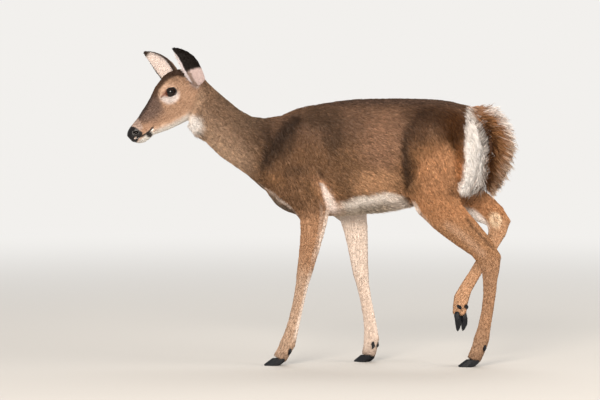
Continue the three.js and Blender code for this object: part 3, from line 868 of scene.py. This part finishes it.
def paintFace(mix, part, p, n):  # places are along, out and up in the head's frame
    local, _ = inHead(p)
    a, o, u = local.T
    face = part("face")
    rough = mottle(p, 0.012)
    flat = local[:, [0, 2]]
    mix("cheek", face * ramp(o, 22, 42) * ramp(a, -20, 20) * fall(a, 95, 150) * 0.7)
    lowMuzzle = across(a, [(95, 44), (103, 36), (118, 8), (156, 3), (190, 18), (204, 38)])
    mix("muzzle", face * ramp(u - lowMuzzle + 4 * rough, -24, 20) * ramp(a + 3 * rough, 70, 112)
        * fall(a + 0.3 * u, 203, 220) * 0.82)
    mix("bridge", face * ramp(n @ headWay(0, 0, 1) + 0.1 * rough, 0.45, 0.95) * ramp(a, 75, 110)
        * fall(a, 205, 222) * 0.85)
    cap = across(a, [(-30, 30), (-15, 36), (-8, 46), (6, 64), (24, 70), (42, 72), (61, 72), (77, 68),
                     (89, 62), (104, 54)])
    mix("brow", face * ramp(u - cap + 3 * rough, -5, 7) * fall(a, 98, 125) * 0.95)
    mix("browDark", face * ramp(u - cap + 3 * rough, -6, 10) * fall(a + 3 * rough, 20, 85) * 0.75)
    mix("band", face * ramp(a + 0.35 * u + 2 * rough, 206, 214) * ramp(u, 2, 12) * 0.85)
    mix("lip", face * ramp(a, 150, 190) * fall(u + 2 * rough, 2, 14) * 0.7)
    lidAway = openingShare(p)
    ring, below, ahead = np.zeros(len(p)), np.zeros(len(p)), np.zeros(len(p))
    for eye in eyes.values():
        near = (p - eye["centre"]) / mm
        onSide = near @ eye["out"] > -25
        forward, rise = near @ eye["front"], near @ eye["up"]
        far = np.hypot((forward - 5) / 37, (rise + 4) / 37) + 0.07 * rough
        ring = np.where(onSide, np.maximum(ring, fall(far, 0.66, 1.08)), ring)
        below = np.where(onSide & (far < 1.3), ramp(-rise, -4, 14), below)
        ahead = np.where(onSide & (far < 1.3), forward, ahead)
    mix("ringUp", face * ring * 0.9)
    mix("ring", face * ring * below * 0.95)
    jawLine = across(a, [(40, -61), (70, -60), (123, -49), (184, -26), (200, -18)])
    overJaw = u - jawLine + 2 * rough
    mix("cheekLow", face * fall(overJaw, 4, 26) * ramp(a, 30, 80) * fall(a, 185, 200) * 0.7)
    # the white hair of the jaw and chin, greyed by painted shade
    mix("jaw", face * fall(overJaw, -9, 14) * ramp(a, 40, 75) * 0.95)
    mix("jaw", face * ramp(a, 186, 196) * fall(u + rough, -18, -14) * ramp(o, -1, 3))
    spot = np.hypot((a - 204) / 10.5, (u + 22) / 11.5) + 0.1 * rough
    mix("black", face * fall(spot, 0.75, 1.1) * 0.97)
    fleck = np.hypot((a - 187) / 5, (u + 17.5) / 3)
    mix("white", face * fall(fleck, 0.6, 1.2) * ramp(o, 8, 14))
    mouth = lineAway(flat, faceForm["mouth"]["line"])
    mix("black", face * fall(mouth, 1.8, 4.2) * ramp(o, 4, 6) * ramp(a, 172, 182) * 0.92)
    padRear = across(u, [(-12, 236), (-6, 222), (0, 217), (7, 218), (15, 221), (24, 223), (33, 226),
                         (44, 234)])
    pad = ramp(a - padRear + 1.5 * rough, -3, 3) * ramp(u + 0.4 * (a - 238) * (a > 238), -9, -5)
    mix("nosePad", face * pad)
    mix("lipSpot", face * fall(np.hypot((a - 247) / 6, (u - 1) / 3.5), 0.6, 1.2) * ramp(o, 3, 6) * 0.8)
    # the black nostril, its black spread past the rim as painted shade
    mix("black", face * fall(nostrilShare(local), 0.8, 1.5))
    tear = lineAway(flat, faceForm["tearPit"]["line"])
    mix("duct", face * fall(tear, 1.5, 5.0) * ramp(o, 20, 30) * 0.85)
    mix("duct", face * fall(lidAway, 1.12, 1.3) * ramp(ahead, 9, 13) * 0.85)
    rear = ramp(-ahead, 7, 16)
    mix("black", face * fall(lidAway - 0.14 * rear, 1.13, 1.24) * fall(ahead, 10, 15))
    return pad * face


tarsalGlands = [(boxPlace("gaskin_right", 0.82, 0.25, 0.1), (0.024, 0.04, 0.028)),
                (boxPlace("gaskin_left", 0.86, 0.85, 0.1), (0.022, 0.03, 0.026))]
earShape = {"halfWidth": 0.0365, "bow": -0.014, "leaf": (0.58, 0.42), "curl": (2.2, 1.4)}
ears = {  # root and tip as shares of the node's box
    "ear_left": {"root": (0.87, 0.71, 0.13), "tip": (-0.02, 0.21, 0.975), "opening": (-0.86, 0.5, -0.1),
                 "back": "earBack", "rim": 0.3},
    "ear_right": {"root": (0.91, 0.31, 0.14), "tip": (-0.01, 0.74, 0.965), "opening": (-0.78, -0.62, 0.1),
                  "back": "earBrown", "rim": 0.9},
}
for ear, spec in ears.items():
    spec["root"] = boxPlace(ear, *spec["root"])
    whole = boxPlace(ear, *spec["tip"]) - spec["root"]
    spec["axis"], spec["length"] = unit(whole), np.linalg.norm(whole)
    spec["across"] = unit(np.cross(spec["axis"], spec["opening"]))
    spec["opening"] = np.cross(spec["across"], spec["axis"])


def earHollow(p, n, spec):  # 1 on the ear's hollow side; the way to its rims, -1 to 1; and the way to its tip
    rise = np.clip((p - spec["root"]) @ spec["axis"] / spec["length"], 0, 0.99)
    leaf = earShape["leaf"][0] + earShape["leaf"][1] * np.sin(np.pi * np.minimum(rise / 0.95, 1))
    point = np.sqrt(1 - np.maximum((rise - 0.5) / 0.505, 0) ** 2.4)
    curl = earShape["curl"][0] - earShape["curl"][1] * rise
    radius = earShape["halfWidth"] * leaf * point / np.sin(np.minimum(curl, math.pi / 2))
    middle = earShape["bow"] * np.sin(np.pi * rise) + 0.35 * radius
    off = p - spec["root"] - np.outer(rise * spec["length"], spec["axis"]) - np.outer(middle, spec["opening"])
    sideways, back = off @ spec["across"], -(off @ spec["opening"])
    away = np.outer(sideways, spec["across"]) - np.outer(back, spec["opening"])
    away = away / np.hypot(sideways, back)[:, None]
    return ramp(-(n * away).sum(axis=1), -0.1, 0.4), np.arctan2(sideways, back) / curl, rise


def paintEars(mix, part, p, n):
    rough = mottle(p, 0.008)
    for zone, spec in (("earLeft", ears["ear_left"]), ("earRight", ears["ear_right"])):
        ear = part(zone)
        inside, edge, rise = earHollow(p, n, spec)
        mix(spec["back"], ear * 0.95)
        if zone == "earLeft":
            dark = across(p[:, 0], bodyLines["earDark"])
            mix("earBase", ear * fall(p[:, 2] - dark + 0.002 * rough, -0.005, 0.004))
            rim = edge + 0.04 * rough
            mix("earBrown", ear * ramp(rim, 0.5, 0.62) * fall(rise, 0.35, 0.5) * 0.75)
            mix("earFringe", ear * ramp(rim, 0.74, 0.84) * ramp(rise, 0.12, 0.2) * (1 - inside))
        else:
            mix("earBase", ear * fall(rise, 0.05, 0.2) * 0.6)
            mix("earRim", ear * np.maximum(ramp(rise, 0.55, 0.95), ramp(np.abs(edge), 0.6, 0.85)) * 0.85)
        mix("earIn", ear * inside * fall(rise, 0.86, 0.94))
        mix("earRim", ear * inside * ramp(np.abs(edge), 0.86, 0.96) * ramp(rise, 0.1, 0.3) * spec["rim"])


def coatPattern(p, n, values):  # the coat's colour at these places, in linear light, and the nose pad's share
    colour = values[:, colourColumns].copy()

    def mix(name, share):
        colour[:] += (pigment[name] - colour) * np.clip(share, 0, 1)[:, None]

    def part(*names):
        return zoneShare(values, *names)

    for paint in (paintTrunk, paintNeck, paintLegs, paintUnder, paintRear):
        paint(mix, part, p, n)
    pad = paintFace(mix, part, p, n)
    paintEars(mix, part, p, n)
    return np.clip(colour, 0, 1), pad


def paintMesh(mesh, colours):
    attribute = mesh.color_attributes.new("coatColour", "FLOAT_COLOR", "POINT")
    rows = np.ones((len(colours), 4), np.float32)
    rows[:, :3] = colours
    attribute.data.foreach_set("color", rows.ravel())


skinOwners, skinValues = blendedValues(skinMesh, 0.4)
skinPoints, skinNormals = readVertices(skinMesh), readVertices(skinMesh, "normal")
skinColours, padShare = coatPattern(skinPoints, skinNormals, skinValues)
paintMesh(skinMesh, skinColours)
wet = skinMesh.attributes.new("wet", "FLOAT", "POINT")
lidEdge = fall(openingShare(skinPoints), 1.08, 1.16)
wet.data.foreach_set("value", np.maximum(padShare, lidEdge).astype(np.float32))
skinMesh.polygons.foreach_set("use_smooth", np.ones(len(skinMesh.polygons), bool))
skin = newObject("skin", skinMesh)
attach(skin, "root")
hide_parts(*fleshNodes)
skinFaces = sum(len(f.vertices) - 2 for f in skinMesh.polygons)
print("skin:", len(skinMesh.vertices), "vertices,", skinFaces, "triangles")

# Skin material

hideMake = {"hairGap": 0.9, "ticking": 2.6, "padGrain": 1.6}  # mm


def hideMaterial():
    # Short-haired deer hide under the coat: dull, finely streaked by the hair, with a wet grainy nose pad.
    material, tree = newMaterial("deerHide")
    wetness = addNode(tree, "Attribute", attribute_name="wet").outputs["Fac"]
    place = addNode(tree, "TexCoord")
    streaks = noiseIn(tree, place, 1 / (hideMake["hairGap"] * mm), 2.0, 0.6)
    ticks = noiseIn(tree, place, 1 / (hideMake["ticking"] * mm), 3.0, 0.65)
    grain = addNode(tree, "TexVoronoi", {"Vector": place.outputs["Object"],
                                         "Scale": 1 / (hideMake["padGrain"] * mm)})
    relief = addNode(tree, "Mix", {0: wetness, 2: streaks, 3: grain.outputs["Distance"]}, data_type="FLOAT")
    bump = addNode(tree, "Bump", {"Height": relief.outputs[0], "Strength": 0.5, "Distance": 0.0005})
    dull = mapRange(tree, wetness, 0, 1, 0.75, 0.28)
    shader = addNode(tree, "BsdfPrincipled", {"Base Color": tickedColour(tree, ticks, 0.8), "Roughness": dull,
                                              "Normal": bump.outputs[0], "Specular IOR Level": 0.35})
    finishMaterial(tree, shader)
    return material


skinMesh.materials.append(hideMaterial())

# Eyes

eyeMake = {"corneaShare": 0.62, "corneaRise": 1.0, "irisColour": "#24150e", "ballColour": "#030202",
           "cornerColour": "#7d4a3b", "pupil": (9.5, 5.5), "fibres": 900.0, "segments": 48, "rings": 32}


def makeEye(label, eye):
    bm, radius = bmesh.new(), eye["radius"]
    bmesh.ops.create_uvsphere(bm, u_segments=eyeMake["segments"], v_segments=eyeMake["rings"], radius=radius)
    for v in bm.verts:  # the cornea swells out of the front of the ball
        ahead = v.co.z / radius
        rise = max(0.0, (ahead - eyeMake["corneaShare"]) / (1 - eyeMake["corneaShare"]))
        v.co *= 1 + eyeMake["corneaRise"] * mm / radius * (rise * rise * (3 - 2 * rise))
    axes = Matrix((eye["front"], eye["up"], eye["out"])).transposed()
    bmesh.ops.transform(bm, matrix=axes.to_4x4(), verts=bm.verts)
    bmesh.ops.translate(bm, verts=bm.verts, vec=eye["centre"])
    bmesh.ops.recalc_face_normals(bm, faces=bm.faces)
    for f in bm.faces:
        f.smooth = True
    mesh = closeMesh(bm, "eye" + label)
    made = newObject("eye" + label, mesh)
    # Deer eye: a near black wide pupil in a very dark brown iris, under a wet clear cornea.
    material, tree = newMaterial("deerEye" + label)
    place = addNode(tree, "TexCoord")
    centre = addNode(tree, "VectorMath", {0: place.outputs["Object"], 1: tuple(eye["centre"])},
                     operation="SUBTRACT")
    ways = zip((eye["front"], eye["up"]), eyeMake["pupil"])
    p, q = (addNode(tree, "VectorMath", {0: centre.outputs[0], 1: tuple(way / (size * mm))},
                    operation="DOT_PRODUCT").outputs["Value"] for way, size in ways)
    flat = addNode(tree, "CombineXYZ", {"X": p, "Y": q})
    far = addNode(tree, "VectorMath", {0: flat.outputs[0]}, operation="LENGTH")
    fibres = noiseIn(tree, place, eyeMake["fibres"], 2.0)
    edge = mapRange(tree, far.outputs["Value"], 0.85, 1.25)
    flecks = addNode(tree, "Math", {0: edge, 1: fibres}, operation="MULTIPLY")
    colour = mixColour(tree, flecks.outputs[0], rgba(eyeMake["ballColour"]), rgba(eyeMake["irisColour"]))
    colour = mixColour(tree, mapRange(tree, p, 1.3, 1.6), colour, rgba(eyeMake["cornerColour"]))
    shader = addNode(tree, "BsdfPrincipled", {"Base Color": colour, "Roughness": 0.35,
                                              "Specular IOR Level": 0.0, "Coat Weight": 1.0,
                                              "Coat Roughness": 0.03, "Coat IOR": 1.4})
    finishMaterial(tree, shader)
    mesh.materials.append(material)
    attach(made, "root")
    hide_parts("eye_" + label.lower())


for label, eye in eyes.items():
    makeEye(label, eye)
print("eyes")

# Hooves and dewclaws

hornMake = {"colour": "#0f1218", "worn": "#2e2c2a", "ridge": 2.4, "dust": 140.0}  # ridge spacing in mm


def hornMaterial():
    # Hoof horn: blue-black keratin grown in fine rings, satin, a little worn and dusty in patches.
    material, tree = newMaterial("hoofHorn")
    place = addNode(tree, "TexCoord")
    rings = addNode(tree, "TexWave", {"Vector": place.outputs["Object"], "Distortion": 3.0, "Detail": 2.0,
                                      "Scale": 0.314 / (hornMake["ridge"] * mm)}, bands_direction="Z")
    dust = mapRange(tree, noiseIn(tree, place, hornMake["dust"], 4.0), 0.5, 0.8, 0, 0.5)
    colour = mixColour(tree, dust, rgba(hornMake["colour"]), rgba(hornMake["worn"]))
    bump = addNode(tree, "Bump", {"Height": rings.outputs["Fac"], "Strength": 0.4, "Distance": 0.0006})
    shader = addNode(tree, "BsdfPrincipled", {"Base Color": colour, "Roughness": 0.5,
                                              "Normal": bump.outputs[0], "Specular IOR Level": 0.3})
    finishMaterial(tree, shader)
    return material


horn = hornMaterial()
for name, node in nodes.items():
    if name.startswith(("hoof_", "dewclaw_")):
        node.data.materials.clear()
        node.data.materials.append(horn)
print("hooves")

# Coat

coatPieces = {  # the starts of the node names that each piece covers
    "coatFace": ("head", "lower_jaw", "nose"), "coatEars": "ear_", "coatNeck": "neck", "coatChest": "chest",
    "coatShoulders": "shoulder_", "coatBelly": "belly", "coatRump": "rump", "coatThighs": "thigh_",
    "coatForelegs": ("forearm", "fore_"), "coatHindlegs": ("gaskin", "hind_"),
}
tuftMake = {"yaw": 9, "lengthSpread": 0.22, "widthSpread": 0.25, "thick": 0.45, "droop": 0.5, "sink": 0.04,
            "shadeSpread": 0.2, "lockShade": 0.15, "lumpShade": 0.12, "lumpSize": 0.0048, "cloudShade": 0.07,
            "cloudSize": 0.035, "patch": 0.0015, "perLock": 5, "lockPull": 0.4, "darkTicks": 0.1,
            "paleTicks": 0.05, "rootShade": 0.88, "tipShade": 0.2, "bands": 3.2}
# how much more even the hair's shade is on these zones
calm = {"face": 0.6, "foreLow": 0.5, "forearm": 0.5, "gaskin": 0.4, "hindLow": 0.5, "earLeft": 0.6,
        "earRight": 0.8}
# more length and more lift where the hair is shaggy
shag = {"belly": (0.6, 1.8), "throat": (0.5, 0.8), "patch": (0.8, 0.9)}


def triangleTable(mesh):
    mesh.calc_loop_triangles()
    corners = np.zeros(len(mesh.loop_triangles) * 3, np.int32)
    mesh.loop_triangles.foreach_get("vertices", corners)
    corners = corners.reshape(-1, 3)
    points = readVertices(mesh)
    a, b, c = (points[corners[:, i]] for i in range(3))
    return corners, np.linalg.norm(np.cross(b - a, c - a), axis=1) / 2


skinTriangles, skinAreas = triangleTable(skinMesh)


def bareShare(p):  # 0 where no tuft grows: lids, mouth, nostrils
    local, _ = inHead(p)
    lids = ramp(openingShare(p), 1.18, 1.3)
    lips = np.where(local[:, 0] > 172, ramp(lineAway(local[:, [0, 2]], faceForm["mouth"]["line"]), 1.5, 4), 1)
    return lids * lips * ramp(nostrilShare(local), 1.2, 1.6)


def sampleRoots(names, dice, only, more=1.0):
    wanted = [fleshNodes.index(name) for name in names]
    inside = np.isin(skinOwners[skinTriangles[:, 0]], wanted)
    centres = skinPoints[skinTriangles].mean(axis=1)
    perCm2 = skinValues[skinTriangles, column["perCm2"]].mean(axis=1)
    weight = np.where(inside, skinAreas * 1e4 * perCm2 * more, 0)
    weight *= bareShare(centres) * (1 - padShare[skinTriangles[:, 0]])
    weight *= only(centres, unit(skinNormals[skinTriangles].mean(axis=1)))
    count = int(weight.sum())
    picked = np.searchsorted(np.cumsum(weight) / weight.sum(), dice.random(count)).clip(0, len(weight) - 1)
    u, v = dice.random(count), dice.random(count)
    flip = u + v > 1
    u, v = np.where(flip, 1 - u, u), np.where(flip, 1 - v, v)
    shares = np.column_stack([1 - u - v, u, v])
    corners = skinTriangles[picked]

    def onSkin(values):
        return (values[corners] * shares[:, :, None]).sum(axis=1)

    return {"at": onSkin(skinPoints), "normal": unit(onSkin(skinNormals)), "values": onSkin(skinValues),
            "owners": skinOwners[corners[:, 0]], "count": count}


def coatUnwrap(p, owners, names):  # each part rolled flat round its own length, side by side
    uv = np.zeros((len(p), 2))
    for strip, name in enumerate(names):
        chosen = owners == fleshNodes.index(name)
        if not chosen.any():
            continue
        low, high = (np.array(c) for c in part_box(name))
        middle, size = (low + high) / 2, high - low
        q = p[chosen] - middle
        if zoneOf(name) == "face" or size[0] > size[2]:
            t, turn = q[:, 0] / size[0] + 0.5, np.arctan2(q[:, 1], q[:, 2])
        else:
            t, turn = q[:, 2] / size[2] + 0.5, np.arctan2(q[:, 0], q[:, 1])
        uv[chosen, 0] = (strip + 0.03 + 0.94 * (turn / (2 * math.pi) + 0.5)) / len(names)
        uv[chosen, 1] = 0.01 + 0.98 * np.clip(t, 0, 1)
    return uv


def shagOf(roots):  # where the hair is longer and stands out more
    values, (x, _, z) = roots["values"], roots["at"].T
    under = across(x, bodyLines["bellyEdge"]) - z
    throat = np.hypot(x + 0.4105, z - 0.795) / 0.04
    behind = x - across(z, bodyLines["patchEdge"])
    return {"belly": zoneShare(values, "belly", "chest") * ramp(under, 0.0, 0.02) * ramp(x, 0.02, 0.06),
            "throat": zoneShare(values, "neck") * fall(throat, 0.6, 1.3),
            "patch": zoneShare(values, "rump", "thigh") * ramp(behind, -0.012, 0.01) * ramp(z, 0.53, 0.56)}


def gatherLocks(points, at, dice, pull):  # neighbouring tufts lean to one tip, and share a shade
    count = len(at)
    chosen = dice.choice(count, max(count // tuftMake["perLock"], 1), replace=False)
    tree = KDTree(len(chosen))
    for i, c in enumerate(chosen):
        tree.insert(at[c], i)
    tree.balance()
    lock = np.array([tree.find(p)[1] for p in at])
    lead = chosen[lock]
    points[:, -1] += pull * (points[lead, -1] - points[:, -1])
    for k in range(points.shape[1] - 4, 4, -1):  # long tufts bend to it from their last ring
        points[:, k] += 0.4 * pull * (points[lead, k] - points[:, k])
    return points, dice.normal(0, tuftMake["lockShade"], len(chosen))[lock]


def tuftRings(roots, length, width, lift, dice, rings, droop):
    at, normal, count = roots["at"], roots["normal"], roots["count"]
    way = roots["values"][:, wayColumns]
    way = unit(way - normal * (way * normal).sum(axis=1, keepdims=True))
    side = np.cross(normal, way)
    yaw = np.radians(dice.normal(0, tuftMake["yaw"], count))[:, None]
    way, side = way * np.cos(yaw) + side * np.sin(yaw), side * np.cos(yaw) - way * np.sin(yaw)
    lift = np.radians(np.clip(lift * (1 + dice.normal(0, 0.3, count)), 1, 80))[:, None]
    length, width = length[:, None] * mm, width[:, None] * mm
    points = [at - normal * tuftMake["sink"] * length]
    for share, wide in rings:
        bend = lift * (1 - droop * share)
        rise = normal * np.cos(bend) - way * np.sin(bend)
        middle = at + (way * np.cos(bend) + normal * np.sin(bend)) * length * share
        half = side * width * wide / 2
        points += [middle - half, middle + half, middle + rise * width * wide * tuftMake["thick"]]
    bend = lift * (1 - droop)
    points.append(at + (way * np.cos(bend) + normal * np.sin(bend)) * length)
    return np.stack(points, axis=1)


def tuftFaces(ringCount):
    last = ringCount * 3 + 1
    faces = [(0, 1 + (i + 1) % 3, 1 + i) for i in range(3)]
    for r in range(ringCount - 1):
        for i in range(3):
            a, b = 1 + r * 3 + i, 1 + r * 3 + (i + 1) % 3
            faces += [(a, b, b + 3), (a, b + 3, a + 3)]
    faces += [(last, last - 3 + i, last - 3 + (i + 1) % 3) for i in range(3)]
    return np.array(faces)


def tuftMesh(name, points, colours, uv):  # every tuft is one small closed body
    count, per = points.shape[:2]
    faces = tuftFaces((per - 2) // 3)
    whole = (faces[None] + (np.arange(count) * per)[:, None, None]).reshape(-1, 3)
    mesh = bpy.data.meshes.new(name)
    mesh.vertices.add(count * per)
    mesh.vertices.foreach_set("co", points.astype(np.float32).ravel())
    mesh.loops.add(len(whole) * 3)
    mesh.loops.foreach_set("vertex_index", whole.astype(np.int32).ravel())
    mesh.polygons.add(len(whole))
    mesh.polygons.foreach_set("loop_start", (np.arange(len(whole)) * 3).astype(np.int32))
    mesh.polygons.foreach_set("use_smooth", np.ones(len(whole), bool))
    mesh.update(calc_edges=True)
    paintMesh(mesh, colours.reshape(-1, 3))
    spread = tuftMake["patch"]
    offsets = [(-spread, 0)] + [(0, -spread), (0, spread), (0, 0)] * ((per - 2) // 3) + [(spread, 0)]
    for r in range((per - 2) // 3):
        for i in range(3):
            offsets[1 + r * 3 + i] = (spread * (r - 0.5) * 0.8 * (per > 5), offsets[1 + r * 3 + i][1])
    patches = uv[:, None, :] + np.array(offsets)[None]
    layer = mesh.uv_layers.new(name="OFBake")
    layer.data.foreach_set("uv", patches.reshape(-1, 2)[whole.ravel()].astype(np.float32).ravel())
    return mesh


def furMaterial():
    # Deer hair: hollow coarse guard hair in banded agouti, dull with a faint sheen along the lie.
    material, tree = newMaterial("deerGuardHair")
    bands = noiseIn(tree, addNode(tree, "TexCoord"), 1 / (tuftMake["bands"] * mm), 2.0)
    colour = tickedColour(tree, bands, 0.86)
    shader = addNode(tree, "BsdfPrincipled", {"Base Color": colour, "Roughness": 0.62,
                                              "Specular IOR Level": 0.09})
    finishMaterial(tree, shader)
    return material


fur = furMaterial()


def makeTufts(name, roots, length, width, lift, names, dice, rings=((0.4, 1.0),), droop=tuftMake["droop"],
              pull=tuftMake["lockPull"], tone=None):
    values, count = roots["values"], roots["count"]
    points = tuftRings(roots, length, width, lift, dice, rings, droop)
    points, lockShade = gatherLocks(points, roots["at"], dice, pull)
    if tone is None:
        rootColour, tipColour = (coatPattern(ends, roots["normal"], values)[0]
                                 for ends in (roots["at"], points[:, -1]))
    else:
        rootColour = tipColour = np.tile(hexColour(tone), (count, 1))
    quiet = (1 - 0.7 * ramp(rootColour.mean(axis=1), 0.3, 0.7)) * (1 if tone is None else 0.35)
    for zone, share in calm.items():
        quiet *= 1 - share * zoneShare(values, zone)
    lump = streaked(roots["at"], unit(values[:, wayColumns].mean(axis=0)), tuftMake["lumpSize"])
    haze = mottle(roots["at"], tuftMake["cloudSize"], 3)
    draw = dice.random(count)
    ticks = np.where(draw < tuftMake["darkTicks"], -0.5, np.where(draw > 1 - tuftMake["paleTicks"], 0.22, 0))
    shade = np.exp(quiet * (lockShade + dice.normal(0, tuftMake["shadeSpread"], count) + ticks
                            + tuftMake["lumpShade"] * lump + tuftMake["cloudShade"] * haze))[:, None]
    share = np.linspace(0, 1, len(rings) + 2)
    steps = [share[0]] + [s for s in share[1:-1] for _ in range(3)] + [share[-1]]
    colours = [(rootColour * (1 - s) + tipColour * s) * shade
               * (tuftMake["rootShade"] + tuftMake["tipShade"] * s) for s in steps]
    colours = np.stack(colours, axis=1)
    mesh = tuftMesh(name, points, np.clip(colours, 0, 1), coatUnwrap(roots["at"], roots["owners"], names))
    mesh.materials.append(fur)
    made = newObject(name, mesh)
    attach(made, "root")
    print(name + ":", count, "tufts,", len(mesh.polygons), "triangles")
    return len(mesh.polygons)


def hollowShare(centres, normals):  # 1 on the skin's faces inside the ears
    owners, share = skinOwners[skinTriangles[:, 0]], np.zeros(len(centres))
    for ear, spec in ears.items():
        mine = owners == fleshNodes.index(ear)
        hollow, edge, rise = earHollow(centres[mine], normals[mine], spec)
        rims = 1 if ear == "ear_left" else fall(np.abs(edge), 0.7, 0.85)
        share[mine] = ramp(hollow, 0.5, 0.9) * rims * fall(rise, 0.82, 0.9)
    return share


def growCoat(name, starts, seed):
    names = [node for node in fleshNodes if node.startswith(starts)]
    dice = np.random.default_rng(seed)
    roots = sampleRoots(names, dice, lambda centres, normals: 1 - hollowShare(centres, normals))
    count, values, shares = roots["count"], roots["values"], shagOf(roots)
    spread = np.clip(np.exp(dice.normal(0, tuftMake["lengthSpread"], count)), 0.5, 1.6)
    length = values[:, column["length"]] * spread
    length *= sum((shag[key][0] * share for key, share in shares.items()), 1)
    values[:, wayColumns] = unit(values[:, wayColumns] + shares["patch"][:, None] * np.array([-0.1, 0, -0.5]))
    width = values[:, column["width"]] * np.exp(dice.normal(0, tuftMake["widthSpread"], count))
    lift = values[:, column["lift"]] * sum((shag[key][1] * share for key, share in shares.items()), 1)
    return makeTufts(name, roots, length, width, lift, names, dice)


tailMake = {
    "spine": [(0.504, 0.85), (0.547, 0.812), (0.568, 0.77), (0.573, 0.72), (0.564, 0.66), (0.556, 0.6)],
    "brown": (28, 1.8, 30), "white": (54, 2.3, 30),  # length, width, lift
    "spread": 0.5, "more": 2.0, "above": (0.62, 0.38), "rings": ((0.28, 1.0), (0.66, 0.75)), "droop": 0.15,
    "pull": 0.7,
}


def growTail(name, seed):  # the tail's hair fans out from its bone, white below and brown above
    dice = np.random.default_rng(seed)
    above, below = tailMake["above"]
    roots = sampleRoots(["tail"], dice, more=tailMake["more"],
                        only=lambda centres, normals: above + below * fall(centres[:, 2], 0.6, 0.66))
    count, values, (x, _, z) = roots["count"], roots["values"], roots["at"].T
    outX, outZ = unit(nearLine(roots["at"][:, [0, 2]], tailMake["spine"])[2]).T
    brown = ramp(x - across(z, bodyLines["tailEdge"]), -0.006, 0.006)
    down = 0.55 * (1 - 0.6 * ramp(outZ, 0.35, 0.9) * ramp(x, 0.522, 0.548))
    fan = np.column_stack([outX * np.where(outX < 0, 0.7, 0.8), np.zeros(count), outZ * 0.45 - down])
    low = fall(z, 0.76, 0.82)
    under = np.column_stack([-0.75 * low, np.zeros(count), np.full(count, -0.65)])
    values[:, wayColumns] = unit(fan * brown[:, None] + under * (1 - brown[:, None]))
    kinds = zip(tailMake["white"], tailMake["brown"])
    length, width, lift = (white + (dark - white) * brown for white, dark in kinds)
    length = length * np.clip(np.exp(dice.normal(0, tailMake["spread"], count)), 0.45, 2.3)
    length *= 1 - 0.45 * fall(z, 0.57, 0.66) * (outX > 0)  # shorter at the lower rim
    length *= 1 - 0.6 * (1 - low) * (1 - brown)  # on the white near the root
    length *= 1 - 2.4 * brown * (1 - brown)  # where white meets brown
    length *= 1 + 0.8 * brown * (outX < 0.2) * fall(z, 0.61, 0.68)  # and longer at the brown's lower front
    length *= 1 - 0.3 * fall(x, 0.515, 0.545) * ramp(z, 0.82, 0.85)
    lift = np.where(brown < 0.5, lift * (0.3 + 0.7 * low), lift)
    return makeTufts(name, roots, length, width, lift, ["tail"], dice, tailMake["rings"], tailMake["droop"],
                     tailMake["pull"])


earHair = {"length": 10, "width": 0.9, "lift": {"ear_left": 24, "ear_right": 8}, "more": 1.1,
           "outward": {"ear_left": 1.0, "ear_right": 0.3}, "colour": "#efe2db"}


def growEarHair(name, seed):  # long pale hair inside the ears, which shows past the near rim
    dice = np.random.default_rng(seed)
    roots = sampleRoots(list(ears), dice, hollowShare, earHair["more"])
    count, lift = roots["count"], np.zeros(roots["count"])
    for ear, spec in ears.items():
        mine = roots["owners"] == fleshNodes.index(ear)
        _, edge, _ = earHollow(roots["at"][mine], roots["normal"][mine], spec)
        outward = spec["across"] * (edge[:, None] * earHair["outward"][ear])
        roots["values"][mine, wayColumns] = unit(outward + spec["axis"] * 0.8 + spec["opening"] * 0.2)
        lift[mine] = earHair["lift"][ear]
    length = earHair["length"] * np.clip(np.exp(dice.normal(0, 0.3, count)), 0.4, 1.4)
    return makeTufts(name, roots, length, np.full(count, earHair["width"]), lift, list(ears), dice,
                     tone=earHair["colour"])


coatCount = 0
for seed, (name, starts) in enumerate(coatPieces.items()):
    coatCount += growCoat(name, starts, seed + 1)
coatCount += growEarHair("earHair", 30)
coatCount += growTail("tailHair", 20)
print("coat:", coatCount, "triangles in all")
